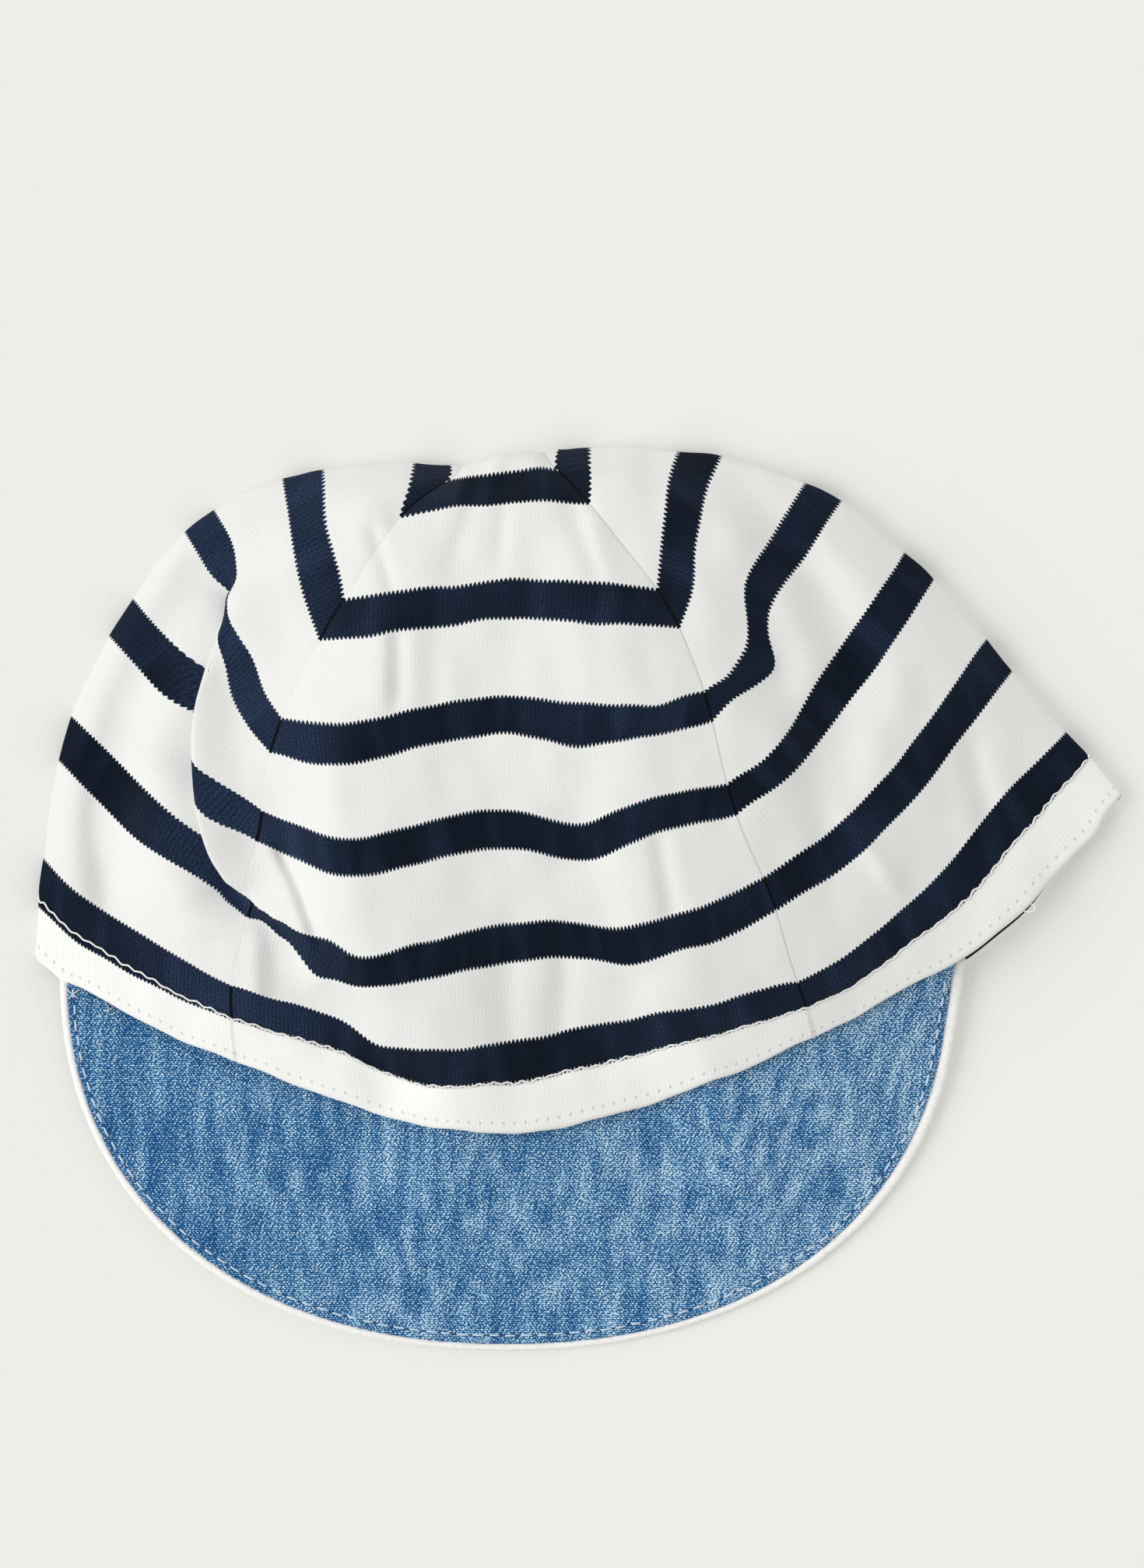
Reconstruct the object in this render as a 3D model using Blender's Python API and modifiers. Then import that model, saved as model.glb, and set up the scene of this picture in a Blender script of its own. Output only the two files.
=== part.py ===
"""A toddler's striped jersey cap with a chambray peak, lying flat on its back.

Run it with: blender --background --python part.py

The crown is four gores. Each height on a gore is one ring round the crown, and a ring is laid out flat
by the table RINGS: where it meets the two side folds and the two front seams, and how far it bows from
the straight line between them. +X is to the right, +Y goes from the peak to the top fold, +Z is up.
"""

import math

import bpy
import numpy as np

# Driving sizes of the cap itself, in metres
HEAD_ROUND = 0.496
PANEL_HEIGHT = 0.154
PANEL_TAPER = 0.0764
JERSEY_THICKNESS = 0.0011
HEM_DEPTH = 0.0100
HEM_THICKNESS = 0.0022
STRIPE_WIDTH = 0.0080
STRIPE_PITCH = 0.0240
LOWEST_STRIPE = 0.0140

# Driving sizes of the peak and its piping
PEAK_HALF_WIDTH = 0.0911
PEAK_DEPTH = 0.0768
PEAK_SQUARENESS = 2.2
PEAK_THICKNESS = 0.0020
PEAK_TUCK = 0.0045
PIPING_THICKNESS = 0.0017

# How the cap lies: its flat width and length as shares of its own sizes, and its highest point
LIES_WIDE = 0.4520 * HEAD_ROUND
LIES_LONG = 0.9290 * PANEL_HEIGHT
CROWN_RISE = 0.0270

# Clearances between pieces that touch on the real cap
SEAM_GAP = 0.0004
PIPING_GAP = 0.0003
PEAK_GAP = 0.0008

# Where a seam lies: across a gore from -1 to 1 in the front gore, -3 to -1 left, 1 to 3 right
SEAM = 1.0
BACK_SEAM = 3.0
WHOLE_RING = 8.0

# Each ring as it lies. height: share of PANEL_HEIGHT. Points are (share of half the flat width from the
# middle, share of the flat length above the hem's lowest point). folds: how far the side folds are from
# the middle of the front gore, in half gores. edge and rise: thickness at the folds and height over
# that in the middle, as shares of CROWN_RISE.
RING_COLUMNS = ("height", "left_fold", "left_seam", "right_seam", "right_fold", "folds", "edge", "rise")
RINGS = (
    (0.000, (-1.000, 0.265), (-0.626, 0.103), (0.439, 0.138), (1.000, 0.502), (-1.81, 2.30), 0.17, 0.30),
    (0.091, (-0.988, 0.371), (-0.637, 0.192), (0.417, 0.202), (0.927, 0.564), (-1.81, 2.28), 0.19, 0.48),
    (0.247, (-0.945, 0.573), (-0.601, 0.321), (0.355, 0.348), (0.783, 0.693), (-1.87, 2.16), 0.20, 0.69),
    (0.403, (-0.839, 0.749), (-0.583, 0.448), (0.285, 0.486), (0.629, 0.823), (-2.00, 2.10), 0.20, 0.80),
    (0.558, (-0.698, 0.890), (-0.553, 0.577), (0.243, 0.620), (0.458, 0.930), (-2.09, 2.19), 0.20, 0.76),
    (0.714, (-0.508, 0.956), (-0.452, 0.742), (0.173, 0.758), (0.230, 0.985), (-1.95, 2.00), 0.19, 0.60),
    (0.870, (-0.265, 0.970), (-0.281, 0.923), (-0.004, 0.935), (-0.004, 0.992), (-1.45, 1.46), 0.15, 0.32),
    (0.942, (-0.206, 0.958), (-0.196, 0.968), (-0.072, 0.986), (-0.062, 0.979), (-1.15, 1.15), 0.12, 0.09),
    (1.000, (-0.127, 0.906), (-0.127, 0.906), (-0.127, 0.906), (-0.127, 0.906), (-1.15, 1.15), 0.00, 0.00),
)

# How far each ring bows up from the straight line between two of its points, as shares of the flat
# length: a row for each row of RINGS, a column for each place along the stretch.
BOW_PLACES = {
    "left_side": (0.20, 0.40, 0.65, 0.85),
    "front": (0.17, 0.33, 0.50, 0.67, 0.83),
    "right_side": (0.25, 0.50, 0.75),
    "back": (0.15, 0.50, 0.85),
}
BOWS = {
    "left_side": (
        (-0.011, -0.016, -0.014, -0.007),
        (-0.014, -0.015, -0.010, -0.006),
        (-0.002, -0.005, -0.003, -0.005),
        (0.011, 0.033, -0.037, -0.021),
        (0.011, -0.002, -0.023, -0.017),
        (-0.003, -0.006, -0.005, -0.002),
        (0.000, 0.000, 0.000, 0.000),
        (0.000, 0.000, 0.000, 0.000),
        (0.000, 0.000, 0.000, 0.000),
    ),
    "front": (
        (-0.061, -0.105, -0.120, -0.095, -0.055),
        (-0.041, -0.096, -0.089, -0.062, -0.032),
        (-0.078, -0.078, -0.056, -0.055, -0.046),
        (-0.053, -0.041, -0.024, -0.047, -0.018),
        (-0.018, -0.005, 0.007, -0.010, -0.017),
        (0.008, 0.014, 0.021, 0.018, 0.010),
        (0.002, 0.005, 0.005, 0.006, 0.006),
        (0.002, 0.003, 0.005, 0.003, 0.002),
        (0.000, 0.000, 0.000, 0.000, 0.000),
    ),
    "right_side": (
        (-0.029, -0.053, -0.043),
        (-0.026, -0.030, -0.011),
        (-0.025, -0.029, -0.016),
        (-0.023, -0.018, -0.014),
        (-0.028, 0.012, 0.007),
        (0.000, 0.005, 0.008),
        (0.000, 0.000, 0.000),
        (0.000, 0.000, 0.000),
        (0.000, 0.000, 0.000),
    ),
    "back": (
        (-0.100, -0.265, -0.200),
        (-0.140, -0.280, -0.160),
        (-0.160, -0.320, -0.160),
        (-0.180, -0.350, -0.180),
        (-0.180, -0.350, -0.180),
        (-0.150, -0.294, -0.150),
        (-0.100, -0.175, -0.100),
        (-0.065, -0.110, -0.065),
        (0.000, 0.000, 0.000),
    ),
}

# Folds of the front: from one point to another in the same shares as RINGS, the change of height as a
# share of CROWN_RISE, and the half-width as a share of the flat length.
FOLDS = (
    # start, end, change of height, half-width
    ((-0.680, 0.800), (-0.745, 0.560), -0.20, 0.050),
    ((-0.745, 0.560), (-0.670, 0.350), -0.22, 0.050),
    ((-0.590, 0.790), (-0.610, 0.520), 0.10, 0.060),
    ((-0.620, 0.300), (-0.330, 0.085), -0.14, 0.050),
    ((0.325, 0.800), (0.370, 0.670), -0.14, 0.050),
    ((0.370, 0.670), (0.470, 0.520), -0.08, 0.050),
    ((0.000, 0.600), (0.010, 0.420), -0.06, 0.050),
    ((0.010, 0.420), (0.110, 0.250), -0.06, 0.050),
)

# The peak's place in the same shares, how far round the hem it is sewn, in half gores, and the height
# of its two tips above the surface, as a share of CROWN_RISE
PEAK_MIDDLE = (-0.127, 0.233)
PEAK_ENDS = (-1.52, 1.52)
PEAK_TIP_LIFT = 0.10

# How far to both sides of a point the surface is read to find which way it faces
FACING_REACH = 0.0015

# Keeps a division from being by nothing at the tip, metres
TINY = 1e-6

# Mesh density: shares of the way from a front seam to a side fold, then on to the back seam
COLUMNS_ACROSS_FRONT = 16
COLUMNS_ACROSS_BACK = 8
TOWARDS_FOLD = (0.0, 0.11, 0.22, 0.33, 0.44, 0.55, 0.66, 0.77, 0.87, 0.94, 0.98)
PAST_FOLD = (0.0, 0.04, 0.10, 0.18, 0.30, 0.50, 0.75, 1.0)
PEAK_COLUMNS = 44
PEAK_ROWS = (0.0, 0.06, 0.2, 0.4, 0.6, 0.8, 0.92, 1.0)
PIPING_POINTS = 72

WHITE = (0.81, 0.80, 0.78, 1.0)
NAVY = (0.010, 0.017, 0.032, 1.0)
CHAMBRAY = (0.12, 0.25, 0.42, 1.0)


def column(name):
    """One column of RINGS as an array with a row for each ring."""
    return np.array([row[RING_COLUMNS.index(name)] for row in RINGS], float)


def through(knots, values, places):
    """A smooth curve through values at the knots, read at the places."""
    knots = np.asarray(knots, float)
    step = np.diff(knots)
    rise = np.diff(values, axis=0) / step[:, None]
    slopes = np.empty_like(values)
    slopes[0] = rise[0]
    slopes[-1] = rise[-1]
    before = step[:-1, None]
    after = step[1:, None]
    slopes[1:-1] = (after * rise[:-1] + before * rise[1:]) / (before + after)
    index = np.clip(np.searchsorted(knots, places, side="right") - 1, 0, len(step) - 1)
    length = step[index][:, None]
    t = (places - knots[index])[:, None] / length
    ahead = t * t * (3.0 - 2.0 * t)
    return (
        (1.0 - ahead) * values[index]
        + ahead * values[index + 1]
        + t * (1.0 - t) ** 2 * length * slopes[index]
        - t * t * (1.0 - t) * length * slopes[index + 1]
    )


def read_ring(name, height):
    """A column of RINGS at any height: an array with a row for each height."""
    values = column(name)
    values = values.reshape(len(values), -1)
    return through(column("height"), values, height / PANEL_HEIGHT)


def bow_at(name, along, height):
    """How far a stretch bows up at a share of its length. It doesn't bow at its two ends."""
    bows = through(column("height"), np.array(BOWS[name]), height / PANEL_HEIGHT)
    places = (0.0, *BOW_PLACES[name], 1.0)
    weights = through(places, np.eye(len(places)), along)
    return (bows * weights[:, 1:-1]).sum(axis=1) * LIES_LONG


def half_gore(height):
    """Half the width of a gore at a height above the rim."""
    angle = np.minimum((PANEL_HEIGHT - height) / PANEL_TAPER, math.pi / 2)
    return HEAD_ROUND / WHOLE_RING * np.sin(angle)


def in_plan(shares):
    """Shares of the flat width and length to metres."""
    return shares * np.array((LIES_WIDE / 2, LIES_LONG))


def stretch(start, end, along, bow):
    """Points at a share along the line from start to end, moved square to it by the bow."""
    way = end - start
    length = np.maximum(np.linalg.norm(way, axis=1, keepdims=True), TINY)
    square = np.stack((-way[:, 1], way[:, 0]), axis=1) / length
    return start + way * along[:, None] + square * bow[:, None]


def round_the_fold(distance, radius):
    """How far a sheet has gone in plan, at a distance along it from a fold with this radius."""
    return np.sqrt(distance**2 + radius**2) - radius


def fold_heights(plan):
    """The change of height that FOLDS make at points of the plan."""
    change = np.zeros(len(plan))
    for start, end, depth, half_width in FOLDS:
        a = in_plan(np.array(start))
        way = in_plan(np.array(end)) - a
        along = np.clip((plan - a) @ way / (way @ way), 0.0, 1.0)
        away = np.linalg.norm(plan - a - along[:, None] * way, axis=1)
        change += depth * CROWN_RISE * np.exp(-((away / (half_width * LIES_LONG)) ** 2))
    return change


def crown_points(across, height):
    """The outer surface of the crown.

    across: place round the ring in half gores, 0 in the middle of the front. height: metres above the rim.
    """
    across = np.asarray(across, float)
    height = np.asarray(height, float)
    left_fold = in_plan(read_ring("left_fold", height))
    left_seam = in_plan(read_ring("left_seam", height))
    right_seam = in_plan(read_ring("right_seam", height))
    right_fold = in_plan(read_ring("right_fold", height))
    folds = read_ring("folds", height)
    edge = read_ring("edge", height)[:, 0] * CROWN_RISE
    rise = read_ring("rise", height)[:, 0] * CROWN_RISE
    half = np.maximum(half_gore(height), TINY)
    radius = np.maximum(edge, TINY)

    # Both side stretches of the front run from a fold to a seam, so they start round the fold.
    left_gone = round_the_fold((across - folds[:, 0]) * half, radius)
    left_all = round_the_fold((-SEAM - folds[:, 0]) * half, radius)
    left_along = np.clip(left_gone / left_all, 0.0, 1.0)
    right_gone = round_the_fold((folds[:, 1] - across) * half, radius)
    right_all = round_the_fold((folds[:, 1] - SEAM) * half, radius)
    right_along = 1.0 - np.clip(right_gone / right_all, 0.0, 1.0)
    front_along = np.clip((across + SEAM) / (2 * SEAM), 0.0, 1.0)

    # The back goes from the right fold under the cap to the left fold, turning round both.
    back_length = WHOLE_RING - folds[:, 1] + folds[:, 0]
    from_right = np.where(across < folds[:, 0], across + WHOLE_RING, across) - folds[:, 1]
    from_nearest = np.minimum(from_right, back_length - from_right) * half
    back_gone = round_the_fold(np.maximum(from_nearest, 0.0), radius)
    back_all = 2.0 * round_the_fold(back_length * half / 2, radius)
    share = back_gone / back_all
    back_along = np.clip(np.where(from_right < back_length / 2, 1.0 - share, share), 0.0, 1.0)

    on_left = (across >= folds[:, 0]) & (across < -SEAM)
    on_right = (across > SEAM) & (across <= folds[:, 1])
    on_front = np.abs(across) <= SEAM
    plan = stretch(left_fold, right_fold, back_along, bow_at("back", back_along, height))
    for mask, start, end, along, name in (
        (on_left, left_fold, left_seam, left_along, "left_side"),
        (on_front, left_seam, right_seam, front_along, "front"),
        (on_right, right_seam, right_fold, right_along, "right_side"),
    ):
        bowed = stretch(start, end, along, bow_at(name, along, height))
        plan[mask] = bowed[mask]

    # The front swells like a cushion between the folds, and the back lies flat on the surface.
    lengths = [
        np.linalg.norm(end - start, axis=1)
        for start, end in ((left_fold, left_seam), (left_seam, right_seam), (right_seam, right_fold))
    ]
    whole = np.maximum(sum(lengths), TINY)
    gone = np.where(on_left, left_along * lengths[0], lengths[0] + front_along * lengths[1])
    gone = np.where(on_right, lengths[0] + lengths[1] + right_along * lengths[2], gone)
    swell = 1.0 - np.abs(2.0 * np.clip(gone / whole, 0.0, 1.0) - 1.0) ** 2.4
    front_height = edge + rise * np.sqrt(swell) + swell * fold_heights(plan)
    turn = np.clip(from_nearest / radius, 0.0, math.pi / 2)
    back_height = edge * (1.0 - np.sin(turn))
    level = np.where(on_left | on_right | on_front, front_height, back_height)
    return np.column_stack((plan, level))


def facing(across, height):
    """The way the outer surface faces at points of the crown, the same on both sides of a seam."""
    reach = FACING_REACH / np.maximum(half_gore(height), FACING_REACH)
    low = np.maximum(height - FACING_REACH, 0.0)
    high = np.minimum(height + FACING_REACH, PANEL_HEIGHT)
    round_the_ring = crown_points(across + reach, height) - crown_points(across - reach, height)
    upwards = crown_points(across, high) - crown_points(across, low)
    square = np.cross(round_the_ring, upwards)
    return square / np.linalg.norm(square, axis=1, keepdims=True)


def side_columns(fold, side):
    """Places round the ring from a front seam to the back seam, close together at the fold."""
    to_fold = SEAM + (np.abs(fold) - SEAM) * np.array(TOWARDS_FOLD)[None, :]
    to_back = np.abs(fold) + (BACK_SEAM - np.abs(fold)) * np.array(PAST_FOLD)[None, :]
    return side * np.hstack((to_fold, to_back))


def ring_columns(heights, piece):
    """The columns of one gore at each height, left to right, with half the seam gap taken off both ends."""
    folds = read_ring("folds", heights)
    rows = len(heights)
    if piece == "front":
        places = np.tile(np.linspace(-SEAM, SEAM, COLUMNS_ACROSS_FRONT + 1), (rows, 1))
    elif piece == "right":
        places = side_columns(folds[:, 1:], 1.0)
    elif piece == "left":
        places = side_columns(folds[:, :1], -1.0)[:, ::-1]
    else:
        places = np.tile(np.linspace(BACK_SEAM, WHOLE_RING - BACK_SEAM, COLUMNS_ACROSS_BACK + 1), (rows, 1))
    trim = SEAM_GAP / 2 / np.maximum(half_gore(heights), SEAM_GAP)
    ends = places[:, [0, -1]]
    middle = ends.mean(axis=1, keepdims=True)
    return middle + (places - middle) * (1.0 - 2 * trim[:, None] / (ends[:, 1:] - ends[:, :1]))


def gore_rows():
    """Heights of the rows of a gore: at both edges of every stripe and between stripes."""
    bottom = HEM_DEPTH + SEAM_GAP
    top = PANEL_HEIGHT - 2 * SEAM_GAP
    edge = STRIPE_WIDTH / 2
    white = STRIPE_PITCH - STRIPE_WIDTH
    least = STRIPE_WIDTH / 8
    heights = [bottom]
    stripe = LOWEST_STRIPE
    while stripe < top:
        for up in (-edge, 0.0, edge, edge + white / 3, edge + white * 2 / 3):
            if heights[-1] + least < stripe + up < top - least:
                heights.append(stripe + up)
        stripe += STRIPE_PITCH
    heights.append(top)
    return np.array(heights)


def is_navy(height):
    """Whether a height on a gore is in a navy stripe."""
    from_stripe = (height - LOWEST_STRIPE + STRIPE_PITCH / 2) % STRIPE_PITCH - STRIPE_PITCH / 2
    return abs(from_stripe) < STRIPE_WIDTH / 2


def sheet_faces(rows, columns, closed):
    """The quads of a sheet, and its border as pairs of points in the order that its quads use them."""
    faces = []
    border = []
    for row in range(rows - 1):
        for place in range(columns if closed else columns - 1):
            after = (place + 1) % columns
            low = row * columns
            high = low + columns
            faces.append((low + place, low + after, high + after, high + place))
            if row == 0:
                border.append((low + place, low + after))
            if row == rows - 2:
                border.append((high + after, high + place))
        if not closed:
            border.append((row * columns + columns - 1, (row + 2) * columns - 1))
            border.append(((row + 1) * columns, row * columns))
    return faces, border


def sheet_mesh(name, points):
    """An open sheet of quads. points has a row of the sheet for each height."""
    mesh = bpy.data.meshes.new(name)
    faces, _ = sheet_faces(*points.shape[:2], closed=False)
    mesh.from_pydata(points.reshape(-1, 3).tolist(), [], faces)
    return mesh


def crown_wall(name, places, heights, thickness, closed=False):
    """A closed wall of the crown: its outer sheet, its inner sheet and the rims between them."""
    rows, columns = places.shape
    across = places.ravel()
    height = np.repeat(heights, columns)
    outer = crown_points(across, height)
    inner = outer - facing(across, height) * thickness
    faces, border = sheet_faces(rows, columns, closed)
    count = len(outer)
    lining = [tuple(count + corner for corner in reversed(face)) for face in faces]
    rims = [(second, first, count + first, count + second) for first, second in border]
    mesh = bpy.data.meshes.new(name)
    mesh.from_pydata(np.vstack((outer, inner)).tolist(), [], faces + lining + rims)
    return mesh


def add_object(name, mesh, collection, *materials):
    """An object at the origin with its materials, shaded smooth."""
    for material in materials:
        mesh.materials.append(material)
    mesh.shade_smooth()
    piece = bpy.data.objects.new(name, mesh)
    collection.objects.link(piece)
    return piece


def make_material(name, colour, roughness):
    """A plain cloth material."""
    material = bpy.data.materials.new(name)
    material.use_nodes = True
    shader = material.node_tree.nodes["Principled BSDF"]
    shader.inputs["Base Color"].default_value = colour
    shader.inputs["Roughness"].default_value = roughness
    shader.inputs["Metallic"].default_value = 0.0
    return material


def make_gore(piece, collection, white, navy):
    """One gore of the crown, from the hem to the tip."""
    heights = gore_rows()
    places = ring_columns(heights, piece)
    name = "crown_panel_" + piece
    mesh = crown_wall(name, places, heights, JERSEY_THICKNESS)
    gore = add_object(name, mesh, collection, white, navy)
    quads_a_row = places.shape[1] - 1
    sheet = quads_a_row * (len(heights) - 1)
    for row in range(len(heights) - 1):
        if is_navy((heights[row] + heights[row + 1]) / 2):
            for quad in range(row * quads_a_row, (row + 1) * quads_a_row):
                mesh.polygons[quad].material_index = 1
                mesh.polygons[sheet + quad].material_index = 1
    return gore


def make_hem(collection, white):
    """The doubled hem: one closed ring round the opening."""
    heights = np.linspace(0.0, HEM_DEPTH, 3)
    folds = read_ring("folds", heights)
    front = np.tile(np.linspace(-SEAM, SEAM, COLUMNS_ACROSS_FRONT + 1), (len(heights), 1))
    right = side_columns(folds[:, 1:], 1.0)
    back = np.tile(np.linspace(BACK_SEAM, WHOLE_RING - BACK_SEAM, COLUMNS_ACROSS_BACK + 1), (len(heights), 1))
    left = side_columns(folds[:, :1], -1.0)[:, ::-1]
    places = np.hstack((left[:, :-1], front[:, :-1], right[:, :-1], back[:, :-1]))
    mesh = crown_wall("hem_band", places, heights, HEM_THICKNESS, closed=True)
    return add_object("hem_band", mesh, collection, white)


def peak_edge(turn, outwards=0.0):
    """The peak's free edge in plan, turn going from 0 at the left tip to 1 at the right tip."""
    angle = math.pi * (1.0 - np.asarray(turn, float))
    power = 2.0 / PEAK_SQUARENESS
    across = np.sign(np.cos(angle)) * np.abs(np.cos(angle)) ** power * PEAK_HALF_WIDTH
    down = -np.abs(np.sin(angle)) ** power * PEAK_DEPTH
    points = in_plan(np.array(PEAK_MIDDLE)) + np.column_stack((across, down))
    way = np.gradient(points, axis=0)
    way /= np.linalg.norm(way, axis=1, keepdims=True)
    return points + outwards * np.column_stack((way[:, 1], -way[:, 0]))


def edge_lift(turn):
    """Height of the peak's free edge: on the surface in the middle, up to the hem at both tips."""
    return PEAK_TIP_LIFT * CROWN_RISE * (1.0 - np.sin(math.pi * np.asarray(turn, float))) ** 2


def under_hem(places, height):
    """Points under the front hem, clear of it, for the peak's sewn edge."""
    heights = np.full(len(places), height)
    return crown_points(places, heights) - facing(places, heights) * (HEM_THICKNESS + PEAK_GAP)


def make_peak(collection, chambray):
    """The peak: tucked under the front hem and sloping down to the surface."""
    turn = np.linspace(0.0, 1.0, PEAK_COLUMNS + 1)
    turn = 0.5 - 0.5 * np.cos(math.pi * turn) * (0.35 + 0.65 * np.abs(np.cos(math.pi * turn)) ** 0.5)
    places = PEAK_ENDS[0] + (PEAK_ENDS[1] - PEAK_ENDS[0]) * turn
    sewn = under_hem(places, PEAK_TUCK)
    rim = under_hem(places, 0.0)
    edge = np.column_stack((peak_edge(turn), PEAK_THICKNESS + edge_lift(turn)))
    rows = [sewn]
    for share in PEAK_ROWS:
        ease = share * share * (3.0 - 2.0 * share) * 0.35 + share * 0.65
        row = rim + (edge - rim) * share
        row[:, 2] = rim[:, 2] + (edge[:, 2] - rim[:, 2]) * ease
        rows.append(row)
    points = np.array(rows)[::-1]
    peak = add_object("peak", sheet_mesh("peak", points), collection, chambray)
    wall = peak.modifiers.new("wall", "SOLIDIFY")
    wall.thickness = PEAK_THICKNESS
    wall.offset = -1.0
    return peak


def make_piping(collection, white):
    """The piping: a round cord along the peak's free edge."""
    turn = np.linspace(0.0, 1.0, PIPING_POINTS)
    plan = peak_edge(turn, outwards=PIPING_THICKNESS / 2 + PIPING_GAP)
    curve = bpy.data.curves.new("peak_piping", "CURVE")
    curve.dimensions = "3D"
    curve.bevel_depth = PIPING_THICKNESS / 2
    curve.bevel_resolution = 2
    curve.use_fill_caps = True
    spline = curve.splines.new("POLY")
    spline.points.add(len(turn) - 1)
    for point, place, lift in zip(spline.points, plan, edge_lift(turn)):
        point.co = (place[0], place[1], PIPING_THICKNESS / 2 + lift, 1.0)
    curve.materials.append(white)
    piping = bpy.data.objects.new("peak_piping", curve)
    collection.objects.link(piping)
    return piping


def clear_scene():
    """Removes the scene's objects."""
    for item in list(bpy.data.objects):
        bpy.data.objects.remove(item, do_unlink=True)


def set_origin(pieces):
    """Moves every piece so that the origin is at the middle of the underside of the whole."""
    graph = bpy.context.evaluated_depsgraph_get()
    points = []
    for piece in pieces:
        shape = piece.evaluated_get(graph)
        points.extend(tuple(vertex.co) for vertex in shape.to_mesh().vertices)
        shape.to_mesh_clear()
    low = np.min(points, axis=0)
    high = np.max(points, axis=0)
    for piece in pieces:
        piece.location = (-(low[0] + high[0]) / 2, -(low[1] + high[1]) / 2, -low[2])


def main():
    clear_scene()
    collection = bpy.data.collections.new("striped_cap")
    bpy.context.scene.collection.children.link(collection)
    white = make_material("white_jersey", WHITE, 0.9)
    navy = make_material("navy_jersey", NAVY, 0.85)
    chambray = make_material("chambray", CHAMBRAY, 0.8)
    pieces = [make_gore(piece, collection, white, navy) for piece in ("front", "left", "right", "back")]
    pieces.append(make_hem(collection, white))
    pieces.append(make_peak(collection, chambray))
    pieces.append(make_piping(collection, white))
    set_origin(pieces)


main()
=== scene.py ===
import math

import bmesh
import bpy
import numpy as np
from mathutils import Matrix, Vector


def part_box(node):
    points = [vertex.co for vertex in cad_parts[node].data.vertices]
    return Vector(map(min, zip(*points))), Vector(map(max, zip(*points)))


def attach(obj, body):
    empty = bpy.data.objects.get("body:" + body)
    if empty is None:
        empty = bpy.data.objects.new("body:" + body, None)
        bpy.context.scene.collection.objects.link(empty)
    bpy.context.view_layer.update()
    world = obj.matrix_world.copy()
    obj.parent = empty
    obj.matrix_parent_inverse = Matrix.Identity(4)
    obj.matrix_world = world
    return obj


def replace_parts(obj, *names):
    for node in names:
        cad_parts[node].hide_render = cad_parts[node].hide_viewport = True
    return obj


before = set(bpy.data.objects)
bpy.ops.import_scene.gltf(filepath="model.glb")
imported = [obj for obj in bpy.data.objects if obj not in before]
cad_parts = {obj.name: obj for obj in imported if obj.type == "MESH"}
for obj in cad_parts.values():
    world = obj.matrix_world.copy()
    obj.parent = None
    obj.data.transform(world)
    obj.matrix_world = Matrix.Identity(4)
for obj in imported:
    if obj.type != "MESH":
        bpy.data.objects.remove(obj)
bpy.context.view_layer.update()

# striped jersey cap with a chambray peak, lying on its back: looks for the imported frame
print("frame loaded:", sorted(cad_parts))

# the cap's own sizes, the same as in the solids (metres)
cap = {
    "headRound": 0.496,
    "gores": 4,
    "panelHeight": 0.154,
    "taper": 0.0764,
    "liesWide": 0.452,  # flat width over head round
    "liesLong": 0.929,  # flat length over panel height
    "rise": 0.027,  # highest point of the front
    "jersey": 0.0011,  # cloth thickness
    "hemDepth": 0.0100,
    "hemThickness": 0.0022,
    "peakHalfWidth": 0.0911,
    "peakDepth": 0.0768,
    "peakSquareness": 2.2,
    "peakThickness": 0.0020,
    "pipingThickness": 0.0017,
}

# each ring of the crown as it lies: one column per guide, one row per height, x as a share of half the
# flat width, y as a share of the flat length
rings = {
    "height": [0.000, 0.091, 0.247, 0.403, 0.558, 0.714, 0.870, 0.942, 1.000],
    "leftFold": [(-1, 0.265), (-0.988, 0.371), (-0.945, 0.573), (-0.839, 0.749), (-0.698, 0.89),
                 (-0.508, 0.956), (-0.265, 0.97), (-0.206, 0.958), (-0.127, 0.906)],
    "leftSeam": [(-0.626, 0.103), (-0.637, 0.192), (-0.601, 0.321), (-0.583, 0.448), (-0.553, 0.577),
                 (-0.452, 0.742), (-0.281, 0.923), (-0.196, 0.968), (-0.127, 0.906)],
    "rightSeam": [(0.439, 0.138), (0.417, 0.202), (0.355, 0.348), (0.285, 0.486), (0.243, 0.62),
                  (0.173, 0.758), (-0.004, 0.935), (-0.072, 0.986), (-0.127, 0.906)],
    "rightFold": [(1, 0.502), (0.927, 0.564), (0.783, 0.693), (0.629, 0.823), (0.458, 0.93),
                  (0.23, 0.985), (-0.004, 0.992), (-0.062, 0.979), (-0.127, 0.906)],
    "folds": [(-1.81, 2.3), (-1.81, 2.28), (-1.87, 2.16), (-2, 2.1), (-2.09, 2.19),
              (-1.95, 2), (-1.45, 1.46), (-1.15, 1.15), (-1.15, 1.15)],
    "edge": [0.17, 0.19, 0.2, 0.2, 0.2, 0.19, 0.15, 0.12, 0],
    "rise": [0.3, 0.48, 0.69, 0.8, 0.76, 0.6, 0.32, 0.09, 0],
}

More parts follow.
